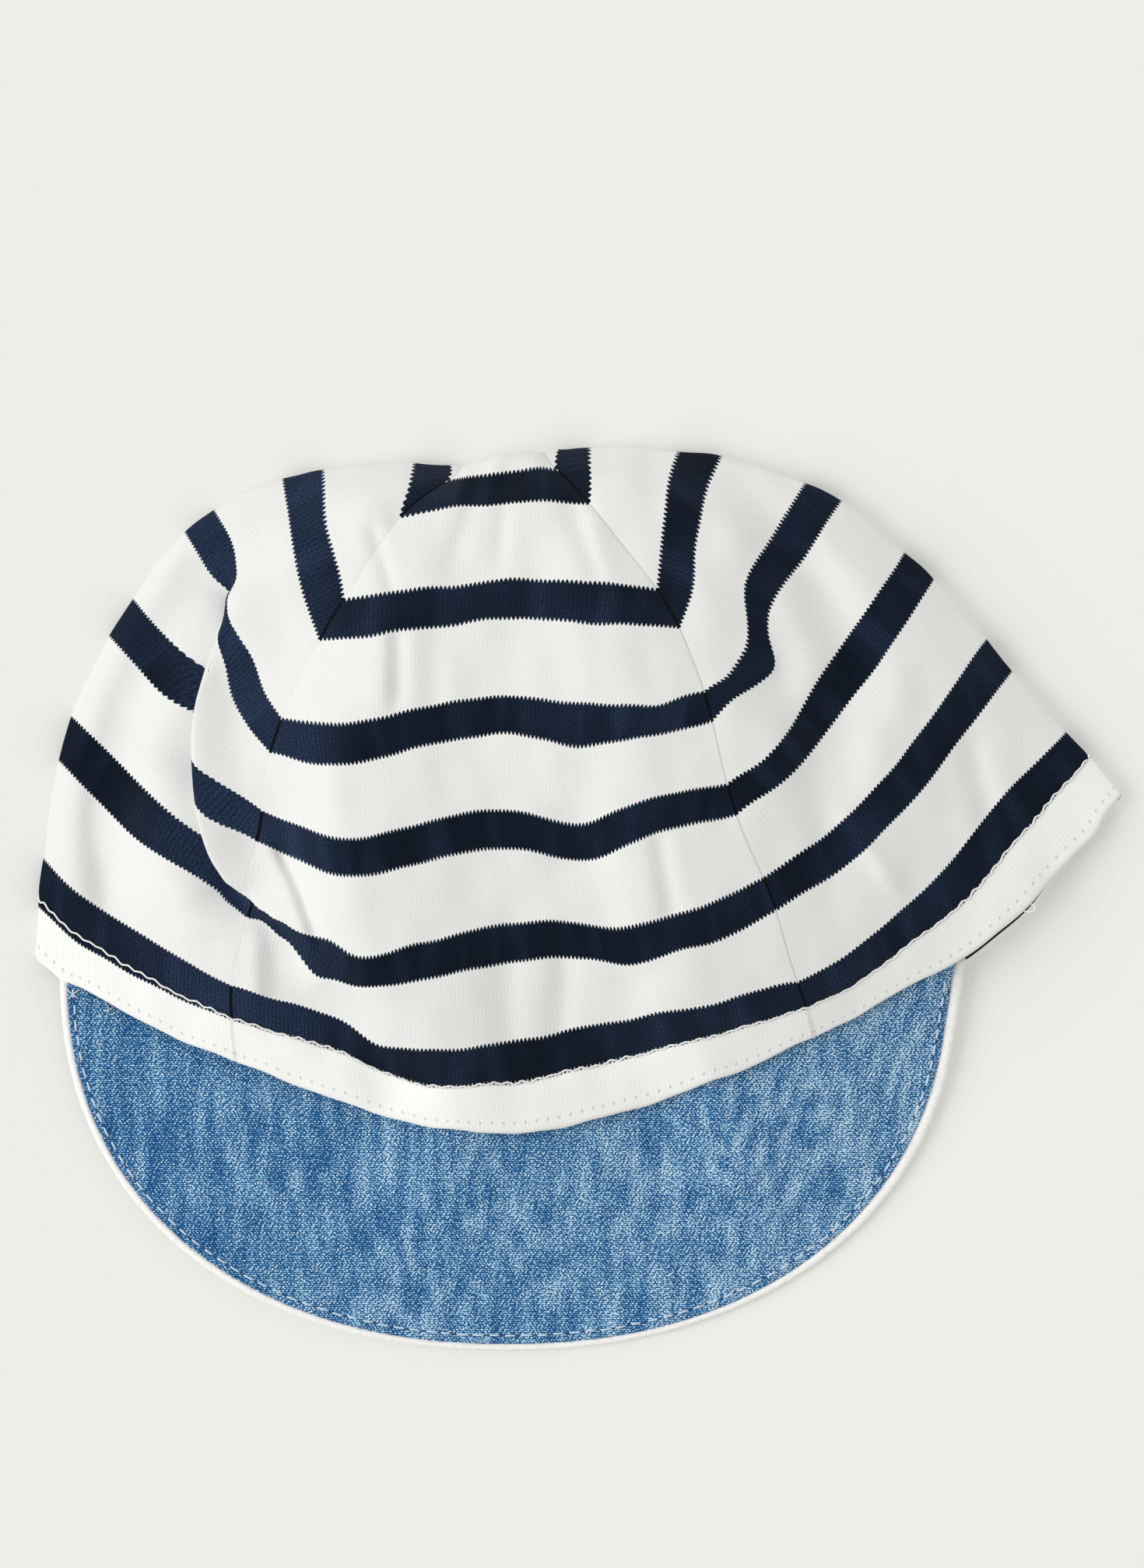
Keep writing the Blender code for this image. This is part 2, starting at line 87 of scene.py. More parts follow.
# how far each ring bows up between two guides, shares of the flat length: places along, then a row per ring
bows = {
    "leftSide": [(0.2, 0.4, 0.65, 0.85),
                 (-0.011, -0.016, -0.014, -0.007), (-0.014, -0.015, -0.01, -0.006),
                 (-0.002, -0.005, -0.003, -0.005), (0.011, 0.033, -0.037, -0.021),
                 (0.011, -0.002, -0.023, -0.017), (-0.003, -0.006, -0.005, -0.002),
                 (0, 0, 0, 0), (0, 0, 0, 0), (0, 0, 0, 0)],
    "front": [(0.17, 0.33, 0.5, 0.67, 0.83),
              (-0.061, -0.105, -0.12, -0.095, -0.055), (-0.041, -0.096, -0.089, -0.062, -0.032),
              (-0.078, -0.078, -0.056, -0.055, -0.046), (-0.053, -0.041, -0.024, -0.047, -0.018),
              (-0.018, -0.005, 0.007, -0.01, -0.017), (0.008, 0.014, 0.021, 0.018, 0.01),
              (0.002, 0.005, 0.005, 0.006, 0.006), (0.002, 0.003, 0.005, 0.003, 0.002), (0, 0, 0, 0, 0)],
    "rightSide": [(0.25, 0.5, 0.75),
                  (-0.029, -0.053, -0.043), (-0.026, -0.03, -0.011), (-0.025, -0.029, -0.016),
                  (-0.023, -0.018, -0.014), (-0.028, 0.012, 0.007), (0, 0.005, 0.008),
                  (0, 0, 0), (0, 0, 0), (0, 0, 0)],
    "back": [(0.15, 0.5, 0.85),
             (-0.1, -0.265, -0.2), (-0.14, -0.28, -0.16), (-0.16, -0.32, -0.16),
             (-0.18, -0.35, -0.18), (-0.18, -0.35, -0.18), (-0.15, -0.294, -0.15),
             (-0.1, -0.175, -0.1), (-0.065, -0.11, -0.065), (0, 0, 0)],
}

# folds of the front in the same shares: start, end, height change over rise, half-width over flat length
folds = [
    ((-0.68, 0.8), (-0.745, 0.56), -0.2, 0.05),
    ((-0.745, 0.56), (-0.67, 0.35), -0.22, 0.05),
    ((-0.59, 0.79), (-0.61, 0.52), 0.1, 0.06),
    ((-0.62, 0.3), (-0.33, 0.085), -0.14, 0.05),
    ((0.325, 0.8), (0.37, 0.67), -0.14, 0.05),
    ((0.37, 0.67), (0.47, 0.52), -0.08, 0.05),
    ((0, 0.6), (0.01, 0.42), -0.06, 0.05),
    ((0.01, 0.42), (0.11, 0.25), -0.06, 0.05),
]

relief = {
    "swellPower": 0.82,  # how fast the front rises from the outline: softer than the solids' 0.5
    "edgeShare": 0.7,  # the outline's folds stand this much of the solids' height
    "swellShape": 2.4,  # 2 for round, higher for flat in the middle and steep at the sides
    "creaseScale": 1.65,
    "edgeFade": 0.4,  # creases fade out over this share of the swell at the outline
}

wholeRing = 2.0 * cap["gores"]
flatWide = cap["liesWide"] * cap["headRound"]
flatLong = cap["liesLong"] * cap["panelHeight"]
flatSize = np.array((flatWide / 2, flatLong))
tiny = 1e-6


def through(knots, values, places):
    # smooth curve through values at knots: cubic between neighbours, slope at a knot weighted by both gaps
    knots, values = np.asarray(knots, float), np.asarray(values, float)
    step = np.diff(knots)
    rise = np.diff(values, axis=0) / step[:, None]
    slopes = np.vstack((rise[:1], (step[1:, None] * rise[:-1] + step[:-1, None] * rise[1:])
                        / (step[1:] + step[:-1])[:, None], rise[-1:]))
    i = np.clip(np.searchsorted(knots, places, side="right") - 1, 0, len(step) - 1)
    gap = step[i][:, None]
    t = (places - knots[i])[:, None] / gap
    ahead = t * t * (3 - 2 * t)
    return ((1 - ahead) * values[i] + ahead * values[i + 1]
            + t * (1 - t) ** 2 * gap * slopes[i] - t * t * (1 - t) * gap * slopes[i + 1])


def ringAt(name, height):
    # what one guide gives at each height: the smooth curve through its column
    column = np.array(rings[name], float).reshape(len(rings["height"]), -1)
    return through(rings["height"], column, height / cap["panelHeight"])


def bowAt(name, along, height):
    # how far a ring bows at a place along it: the smooth curve through its row
    places = (0.0, *bows[name][0], 1.0)
    rows = through(rings["height"], np.array(bows[name][1:], float), height / cap["panelHeight"])
    return (rows * through(places, np.eye(len(places)), along)[:, 1:-1]).sum(axis=1) * flatLong


def halfGore(height):
    # half a gore's width: a quarter sine wave up from the tip, then straight sides
    angle = np.minimum((cap["panelHeight"] - height) / cap["taper"], math.pi / 2)
    return cap["headRound"] / wholeRing * np.sin(angle)


def unit(vectors):
    # each vector over its own length
    return vectors / np.maximum(np.linalg.norm(vectors, axis=-1, keepdims=True), tiny)


def stretchAlong(start, end, along, bow):
    # a place between two points, moved square to the line by the bow
    way = end - start
    return start + way * along[:, None] + unit(way)[:, ::-1] * np.array((-1, 1)) * bow[:, None]


def goneFromFold(distance, radius):
    # distance in plan after turning round a fold: a hyperbola that starts square and ends level
    return np.sqrt(distance ** 2 + radius ** 2) - radius


def lineDistance(plan, start, end):
    # distance in plan to a line between two places, given as shares
    a, b = np.array(start) * flatSize, np.array(end) * flatSize
    way = b - a
    along = np.clip((plan - a) @ way / (way @ way), 0, 1)
    return np.linalg.norm(plan - a - along[:, None] * way, axis=1)


def bell(away):
    # Gaussian of a distance over a width
    return np.exp(-away ** 2)


def foldHeights(plan):
    # each fold is a Gaussian ridge or valley along its line
    change = np.zeros(len(plan))
    for start, end, depth, halfWidth in folds:
        away = lineDistance(plan, start, end) / (halfWidth * flatLong)
        change += depth * cap["rise"] * bell(away)
    return change


def crownPoints(across, height):
    # outer surface of the crown: across in half gores from the front's middle, height up from the rim.
    # the front is laid out between its guides and swells like a cushion, the back lies on the surface
    across, height = np.asarray(across, float).ravel(), np.asarray(height, float).ravel()
    guides = ("leftFold", "leftSeam", "rightSeam", "rightFold")
    corners = [ringAt(name, height) * flatSize for name in guides]
    foldPlace = ringAt("folds", height)
    edge = ringAt("edge", height)[:, 0] * cap["rise"] * relief["edgeShare"]
    rise = ringAt("rise", height)[:, 0] * cap["rise"]
    half = np.maximum(halfGore(height), tiny)
    radius = np.maximum(edge, tiny)
    leftGone = goneFromFold((across - foldPlace[:, 0]) * half, radius)
    leftAlong = np.clip(leftGone / goneFromFold((-1 - foldPlace[:, 0]) * half, radius), 0, 1)
    rightGone = goneFromFold((foldPlace[:, 1] - across) * half, radius)
    rightAlong = 1 - np.clip(rightGone / goneFromFold((foldPlace[:, 1] - 1) * half, radius), 0, 1)
    frontAlong = np.clip((across + 1) / 2, 0, 1)
    backLength = wholeRing - foldPlace[:, 1] + foldPlace[:, 0]
    fromRight = np.where(across < foldPlace[:, 0], across + wholeRing, across) - foldPlace[:, 1]
    fromNearest = np.minimum(fromRight, backLength - fromRight) * half
    halfBack = goneFromFold(backLength * half / 2, radius)
    share = goneFromFold(np.maximum(fromNearest, 0), radius) / halfBack / 2
    backAlong = np.clip(np.where(fromRight < backLength / 2, 1 - share, share), 0, 1)

    onLeft = (across >= foldPlace[:, 0]) & (across < -1)
    onRight = (across > 1) & (across <= foldPlace[:, 1])
    onFront = np.abs(across) <= 1
    plan = stretchAlong(corners[0], corners[3], backAlong, bowAt("back", backAlong, height))
    for mask, i, along, name in ((onLeft, 0, leftAlong, "leftSide"), (onFront, 1, frontAlong, "front"),
                                 (onRight, 2, rightAlong, "rightSide")):
        plan[mask] = stretchAlong(corners[i], corners[i + 1], along, bowAt(name, along, height))[mask]

    lengths = [np.linalg.norm(corners[i + 1] - corners[i], axis=1) for i in range(3)]
    gone = np.where(onLeft, leftAlong * lengths[0], lengths[0] + frontAlong * lengths[1])
    gone = np.where(onRight, lengths[0] + lengths[1] + rightAlong * lengths[2], gone)
    fromMiddle = np.abs(2 * np.clip(gone / np.maximum(sum(lengths), tiny), 0, 1) - 1)
    swell = 1 - fromMiddle ** relief["swellShape"]
    frontHeight = edge + rise * swell ** relief["swellPower"] + swell * foldHeights(plan)
    turn = np.clip(fromNearest / radius, 0, math.pi / 2)
    ahead = onLeft | onRight | onFront
    level = np.where(ahead, frontHeight, edge * (1 - np.sin(turn)))
    inward = np.clip(swell / relief["edgeFade"], 0, 1)
    return np.column_stack((plan, level)), np.where(ahead, inward * inward * (3 - 2 * inward), 0.0), ~ahead


# the solids' origin is the middle of the cap's underside, found here from the hem's own box
hemRound = crownPoints(np.linspace(-4, 4, 2001)[:-1], np.zeros(2000))[0]
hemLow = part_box("hem_band")[0]
shift = np.array((hemLow[0] - hemRound[:, 0].min(), hemLow[1] - hemRound[:, 1].min(), 0.0))
print("cap placed, shift in mm:", np.round(shift * 1000, 2))


# folds and creases that the solids leave out, all in mm as the cap lies
# pulls: middle, how far the cloth goes there, radius
pulls = [
    ((-82.5, 43.5), (-0.6, -3), 6),  # left: outer end of the fourth stripe
    ((-78.5, 25), (0, 2.4), 6.5),  # its inner end
    ((-75, 47.5), (3.6, 0.4), 7.5),  # third stripe beside the tuck
    ((-73, 58), (1.4, 0), 5),
    ((-71, 63.8), (1.4, 0), 3.6),
    ((-54.8, 32), (0, -1.1), 8),
    ((16.9, 42.5), (0, -1.5), 5),  # third stripe, right of the middle
    ((30.6, 45.8), (1.4, -1.1), 3.8),
    ((33.4, 40.5), (-0.6, 0.8), 4.5),
    ((0.2, 31.5), (0, -1.1), 5),
    ((37.6, 49), (2.2, -0.4), 3.8),
    ((-68.5, -3), (0.3, 2.2), 4),  # fifth stripe, pinched beside the left seam
    ((-63.2, -2.6), (0, -1.9), 3),
    ((-62.6, -7.4), (0, 2.9), 3.4),
    ((-58.6, -4.6), (0, -1.5), 3.6),
    ((-59.3, -10.6), (0, 2), 3.4),
    ((-53.4, -14.6), (0, -1.3), 3),
    ((-50.6, -9.6), (0, 1.1), 3.4),
    ((-65.3, 0.6), (0, -2), 2.6),
    ((-65.6, -5.9), (0, 1.7), 3),
    ((-62.8, -3.4), (0, -0.8), 2.2),
    ((-107, -14.5), (0.3, -1.7), 4),  # hem's corner on the left
    ((-110.8, -10.6), (0, -1.2), 3.6),
    ((-78, 52.5), (0, -2.6), 4.5),
    ((-18, 87), (0, -0.9), 5),
    ((112.3, 23), (1.2, -1.8), 5.5),  # hem's corner on the right
    ((106.6, 15.2), (1.1, -0.9), 4.6),
    ((99.5, 4), (-0.4, 0.3), 5),
    ((39.5, 27.5), (0.8, -0.9), 6),  # fourth stripe
    ((2.6, 12), (0, -1), 6),
    ((11, -9), (0, -2.4), 7.5),  # fifth stripe
    ((29, -5.5), (0, -1), 8),
    ((-44, -13.5), (0, -1.4), 8),
    ((-41.5, -28), (0, -1.9), 5),  # sixth stripe
    ((52.7, -13.5), (0, -1.1), 8),
    ((26.5, -20.5), (0, -0.9), 8),
    ((-35, 80.9), (-1.4, -1.3), 4),  # first stripe at the top
    ((-27, 88), (2.2, 0), 3.5),
    ((-4, 91), (-1.3, 0), 3.5),
    ((70, 68.8), (1, 0), 6),
]

# the back of the hem comes out a little under the front's edge on the right
backPull = ((96, 1.5), (1.5, -1.6), 17)

# tucks: a line from top to bottom where the east side hangs over the west side: overhang, width, rise
tucks = [
    (((-71.4, 61.9), (-72.2, 57), (-75.5, 48), (-78, 38), (-78.3, 28), (-77.3, 18),
      (-75, 10), (-72, 5)), 3.6, 4.6, 1.2),
]

# creases: a line from top to bottom, height, half-widths to its west and east
creases = [
    (((-44, 78), (-43, 52), (-48, 30), (-46.5, 6), (-40, -12), (-34, -24)),
     2.2, 10, 20),
    (((4, 57), (3.5, 46), (1.5, 30), (9, 10), (14, -6), (20, -18)), 2, 10, 34),
    (((-68, 54), (-69, 34), (-66, 15)), -2.8, 6, 11),
    (((-80, 70), (-83.5, 63), (-90, 51), (-94.5, 41), (-98.5, 26), (-99.5, 15),
      (-98, 5)), -3.2, 4.5, 8),
    (((-79, 44), (-83.5, 28), (-79, 12)), 1.9, 6.5, 6.5),
    (((36, 88), (43.5, 75), (50.5, 64), (56, 50), (53, 39)), -2.4, 6, 6),
    (((-80, 0), (-74, -5)), 0.7, 5, 5),
    (((-37, 53), (-37, 44)), -0.8, 1.4, 2.2),
    (((-41, 54), (-40.5, 43)), 0.4, 3, 2.5),
    (((-29, 51), (-29, 40)), -0.4, 3, 3),
    (((-60.5, 9.5), (-57.5, 3), (-54, -6.5)), -1.3, 1.3, 1.8),
    (((17.5, 10), (19.5, -1)), -0.8, 2.4, 2.6),
    (((-14, -10), (-13.5, -28)), -0.5, 3.5, 3),
    (((-2.5, -12), (-3, -29)), -0.6, 3, 3),
    (((64, 48), (60, 38), (56, 27)), -0.5, 4.5, 4),
    (((82, 30), (84.5, 20)), -0.8, 3, 3),
    (((58, 14), (64, 6)), 0.8, 2.5, 2.5),
    (((50, 22), (52, 12)), -0.5, 4, 4),
    (((-66, -10), (-66, -19)), 0.7, 2.5, 2.5),
    (((-20, 88), (-24, 74)), -0.5, 2.5, 2.5),
    (((-14.5, 86), (-15.5, 73)), -0.4, 2, 2),
    (((-41.5, 75), (-38.5, 66)), -0.6, 1.6, 1.6),
    (((0.5, 78), (3.5, 69)), -0.5, 2.4, 2),
]

# small irregular waves over all the cloth: wavelength, heading in degrees, phase, height, sideways shift
waver = [
    (9.1, 12, 0.3, 0.06, 0.07),
    (13.7, -25, 1.9, 0.10, 0.10),
    (17.9, 70, 4.0, 0.08, 0.12),
    (23.3, 8, 2.6, 0.14, 0.14),
    (11.9, 48, 5.2, 0.05, 0.09),
    (31.7, -60, 0.9, 0.10, 0.12),
]


def smoothLine(points, pieces=3):
    # the curve that through draws, in so many pieces between two points
    points = np.array(points, float)
    if len(points) < 3:
        return points
    knots = np.arange(len(points), dtype=float)
    return through(knots, points, np.linspace(0, knots[-1], (len(points) - 1) * pieces + 1))


def sideOf(plan, line):
    # distance to a line, west below zero and east above, the way past its ends, and the way east there
    a, way = line[:-1], np.diff(line, axis=0)
    length = np.linalg.norm(way, axis=1)
    way = way / length[:, None]
    gap = plan[:, None] - a[None]
    along = (gap * way).sum(axis=2)
    kept = np.clip(along, 0, length)
    nearest = np.argmin(np.hypot(*(np.moveaxis(gap - kept[..., None] * way, 2, 0))), axis=1)
    rows = np.arange(len(plan))
    east = np.column_stack((-way[nearest, 1], way[nearest, 0]))
    return (gap[rows, nearest] * east).sum(axis=1), np.abs(along - kept)[rows, nearest], east


def near(plan, line, reach):
    # which points lie in the box round a line
    low, high = line.min(axis=0) - reach, line.max(axis=0) + reach
    return np.flatnonzero(((plan > low) & (plan < high)).all(axis=1))


def pullCloth(plan, pull, share=1.0):
    # moves the cloth round one place, a Gaussian of the distance to it
    middle, way, radius = pull
    away = np.linalg.norm(plan - np.array(middle), axis=1) / radius
    plan += np.array(way) * (bell(away) * share)[:, None]


tuckLines = [(smoothLine(points), *sizes) for points, *sizes in tucks]
creaseLines = [(smoothLine(points), *sizes) for points, *sizes in creases]


def surface(across, height):
    # the crown's outer surface with its pulls, waves, creases and tucks, each a Gaussian across its line
    points, front, behind = crownPoints(across, height)
    points = (points + shift) * 1000
    plan = points[:, :2]
    for pull in pulls:
        pullCloth(plan, pull)
    for wavelength, heading, phase, tall, shove in waver:
        way = np.array((math.cos(math.radians(heading)), math.sin(math.radians(heading))))
        wave = np.sin(plan @ way * (2 * math.pi / wavelength) + phase)
        points[:, 2] += front * tall * wave
        plan += shove * wave[:, None] * way[::-1]
    pullCloth(plan, backPull, behind)
    for line, tall, west, east in creaseLines:
        i = near(plan, line, 3 * max(west, east))
        side, past, _ = sideOf(plan[i], line)
        shape = bell(side / np.where(side < 0, west, east)) * bell(past / (west + east))
        points[i, 2] += front[i] * relief["creaseScale"] * tall * shape
    for line, overhang, width, rise in tuckLines:
        i = near(plan, line, 3 * width)
        side, past, east = sideOf(plan[i], line)
        swing = math.sqrt(2 * math.e) * side / width * bell(side / width) * bell(past / width) * front[i]
        points[i, :2] -= east * (overhang * swing)[:, None]
        points[i, 2] += rise * swing
    points[:, 2] = np.maximum(points[:, 2], 0)  # nothing dips into the floor
    return points / 1000


def facing(across, height, reach=0.0008):
    # outward normal: cross product of two short chords of the surface, the same on both sides of a seam
    across, height = np.asarray(across, float).ravel(), np.asarray(height, float).ravel()
    side = reach / np.maximum(halfGore(height), reach)
    low, high = np.maximum(height - reach, 0), np.minimum(height + reach, cap["panelHeight"])
    return unit(np.cross(surface(across + side, height) - surface(across - side, height),
                         surface(across, high) - surface(across, low)))


def gridMesh(name, points, uv, seamUv=None, wrapAcross=False, wrapUp=False):
    # quads of a grid of points (rows, columns, 3), uv is (rows, columns, 2) in mm, and so is seamUv, which
    # holds the distance to the nearest seam and the height above the rim
    rows, columns = points.shape[:2]
    r, c = np.arange(rows if wrapUp else rows - 1), np.arange(columns if wrapAcross else columns - 1)
    r, c = np.meshgrid(r, c, indexing="ij")
    up, over = (r + 1) % rows, (c + 1) % columns
    corners = (r * columns + c, r * columns + over, up * columns + over, up * columns + c)
    quads = np.stack(corners, -1).reshape(-1, 4)
    mesh = bpy.data.meshes.new(name)
    mesh.vertices.add(rows * columns)
    mesh.vertices.foreach_set("co", points.reshape(-1).astype(np.float32))
    mesh.loops.add(quads.size)
    mesh.loops.foreach_set("vertex_index", quads.reshape(-1).astype(np.int32))
    mesh.polygons.add(len(quads))
    mesh.polygons.foreach_set("loop_start", np.arange(0, quads.size, 4, dtype=np.int32))
    mesh.update(calc_edges=True)
    for label, values in (("cloth", uv), ("seam", seamUv)):
        if values is not None:
            layer = mesh.uv_layers.new(name=label)
            perLoop = values.reshape(-1, 2)[quads.reshape(-1)]
            layer.data.foreach_set("uv", perLoop.astype(np.float32).reshape(-1))
    mesh.polygons.foreach_set("use_smooth", np.ones(len(quads), bool))
    mesh.validate()
    return mesh


def addPiece(name, mesh, material):
    mesh.materials.append(material)
    piece = bpy.data.objects.new(name, mesh)
    bpy.context.scene.collection.objects.link(piece)
    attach(piece, "root")
    return piece


def sharpBorder(mesh, rows, columns):
    # the grid's outer edges are marked sharp, so the wall's rim doesn't turn the cloth's normals at a seam
    ends = np.empty(len(mesh.edges) * 2, np.int32)
    mesh.edges.foreach_get("vertices", ends)
    row, column = np.divmod(ends.reshape(-1, 2), columns)
    sides = (row == 0, row == rows - 1, column == 0, column == columns - 1)
    outer = np.any([side.all(axis=1) for side in sides], axis=0)
    mesh.attributes.new("sharp_edge", "BOOLEAN", "EDGE").data.foreach_set("value", outer)


def addWall(piece, thickness):
    wall = piece.modifiers.new("wall", "SOLIDIFY")
    wall.thickness = thickness
    wall.offset = -1.0


# materials
inMm = (1000.0, 1000.0, 1000.0)  # object coordinates times this are in mm


def srgb(r, g, b):
    # 0-255 screen colour to the linear value that a shader takes
    share = np.array((r, g, b)) / 255
    linear = np.where(share <= 0.04045, share / 12.92, ((share + 0.055) / 1.055) ** 2.4)
    return (*linear.tolist(), 1.0)


def formula(operation, swapped=False):
    # a method that wires one math node to two values
    if swapped:
        return lambda self, other: self.nodes.math(operation, other, self)
    return lambda self, other: self.nodes.math(operation, self, other)


class Wire:
    # a value inside a material, so that patterns can be written as formulas
    def __init__(self, nodes, socket):
        self.nodes, self.socket = nodes, socket

    def __abs__(self):
        return self.nodes.math("ABSOLUTE", self)

    __add__, __radd__ = formula("ADD"), formula("ADD", True)
    __sub__, __rsub__ = formula("SUBTRACT"), formula("SUBTRACT", True)
    __mul__, __truediv__ = formula("MULTIPLY"), formula("DIVIDE")
    __mod__, __pow__ = formula("FLOORED_MODULO"), formula("POWER")


class Nodes:
    # short forms for wiring a material
    def __init__(self, name, roughness, sheen=0.05):
        self.material = bpy.data.materials.new(name)
        self.material.use_nodes = True
        self.tree = self.material.node_tree
        self.shader = self.tree.nodes["Principled BSDF"]
        self.shader.inputs["Roughness"].default_value = roughness
        self.shader.inputs["Sheen Weight"].default_value = sheen
        self.shader.inputs["Sheen Roughness"].default_value = 0.6
        self.shader.inputs["Specular IOR Level"].default_value = 0.08

    def link(self, source, socket):
        if isinstance(source, Wire):
            self.tree.links.new(source.socket, socket)
        else:
            socket.default_value = source

    def add(self, kind, inputs, output=0, **settings):
        # one node with its settings and inputs, given by number or name, and the output that is used
        node = self.tree.nodes.new("ShaderNode" + kind)
        for setting, value in settings.items():
            setattr(node, setting, value)
        for key, source in inputs.items():
            self.link(source, node.inputs[key])
        return Wire(self, node.outputs[output])

    def math(self, operation, *sources, clamp=False):
        return self.add("Math", dict(enumerate(sources)), operation=operation, use_clamp=clamp)

    def mix(self, factor, first, second, blend="MIX"):
        return self.add("Mix", {0: factor, 6: first, 7: second}, 2, data_type="RGBA", blend_type=blend)

    def step(self, value, low, high):
        return self.add("MapRange", {0: value, 1: low, 2: high}, interpolation_type="SMOOTHSTEP")

    def ripple(self, turns):
        # half sine waves side by side, 0 at each whole number
        return abs(self.math("SINE", turns * math.pi))

    def noise(self, vector, scale=1.0, detail=1.0, roughness=0.5):
        inputs = {"Vector": vector, "Scale": scale, "Detail": detail, "Roughness": roughness}
        return self.add("TexNoise", inputs, "Fac")

    def cell(self, first, second):
        # an own random value for each pair of whole numbers
        pair = self.add("CombineXYZ", {0: first, 1: second})
        return self.add("TexWhiteNoise", {"Vector": pair}, "Value", noise_dimensions="2D")

    def scaled(self, vector, scale):
        return self.add("Mapping", {"Vector": vector, "Scale": scale})

    def objectPlace(self):
        return self.add("TexCoord", {}, "Object")

    def uvMap(self, name):
        return self.add("UVMap", {}, uv_map=name)

    def split(self, vector):
        node = self.tree.nodes.new("ShaderNodeSeparateXYZ")
        self.link(vector, node.inputs[0])
        return [Wire(self, output) for output in node.outputs]

    def paint(self, colour, height, distance, strength):
        # the piece's colour, and a fine relief, whose distance is in metres
        inputs = {"Height": height, "Distance": distance, "Strength": strength}
        self.link(colour, self.shader.inputs["Base Color"])
        self.link(self.add("Bump", inputs), self.shader.inputs["Normal"])
        return self.material


jersey = {
    "white": srgb(233, 233.5, 231),
    "whiteShade": srgb(227, 227.5, 225),
    "hemLitWhite": srgb(243, 243, 240),
    "navy": srgb(0, 11, 25),
    "navySeamShadow": srgb(0, 2, 8),
    # the navy's worn colour, also used as painted sheen on the big fold's lit ridge
    "navyWearAndSheen": srgb(44, 60, 90),
    "needleHoleShade": srgb(150, 150, 146),
    "seamShade": srgb(176, 178, 180),
    "walePitch": 0.87,  # mm between ribs of the knit
    "coursePitch": 0.62,  # mm between rows of loops
    "courseLean": 0.8,  # rows that a loop leans between a groove and a rib
    "stripeWidth": 8.0,
    "stripePitch": 24.0,
    "lowestStripe": 14.0,
    "stripeSoft": 0.12,  # mm to both sides of a stripe's edge
    "toothDepth": 0.22,  # mm that a loop pokes past a stripe's edge
    "toothMore": 0.16,  # mm more of it on the front, where the ribs lie close
    "toothMiddle": 0.6,  # rib height that lies on the stripe's edge
    "toothRagged": 0.5,
    "raggedScale": (1.4, 0.5, 1),
    "front": ((-66, -50), (60, 40)),  # x in mm, from none of it to all, on the left and on the right
    # x in mm of the big fold's lit ridge on the left, where the navy gets painted sheen
    "bigFold": ((-88, -76), (-42, -58)),
    "hemBorder": (10.3, 9.7),  # mm above the rim, from the gores' white to the hem's brighter white, painted light
    "fuzzScale": (2.2, 1.3, 1),
    "fuzz": (1.6, 3.0, 0.7),  # scale, detail, roughness
    "ribTone": 0.12,
    "fuzzTone": 0.9,
    "toneRange": (0.2, 0.8),
    "patches": (28.0, 3.0),  # worn patches: scale and detail, range of the noise, wear
    "patchRange": (0.4, 0.75),
    "patchWear": 0.5,
    "runScale": (0.17, 0.03, 1),  # worn runs along the ribs
    "runRange": (0.42, 0.78),
    "runWear": 0.5,
    "foldSheen": 0.75,
    "wearAndSheenRange": (0.35, 0.8),
    "wornLeast": 0.04,
    "ribWornLeast": 0.12,
    "ribWearAndSheenShare": 0.25,
    "seamLine": (0.08, 0.3),  # mm from the seam
    "seamOnNavy": (0.15, 0.55),
    "seamClear": (-40, 10),  # x in mm where the seam's painted shadow starts to show on white, and where it shows most
    "seamTone": (0.05, 0.35),  # depth of that painted shadow at the left, and how much more at the right
    "stitchUp": 2.3,  # mm from the hem's edge to its row of needle marks
    "stitchPitch": 2.4,
    "markRim": (0.15, 0.42),
    "markTone": 0.3,
    "heights": {"rib": 0.16, "loop": 0.2, "fuzz": 0.7, "mark": 1.3, "seam": 0.3},
    "relief": (0.00012, 0.7),  # metres, and strength
}


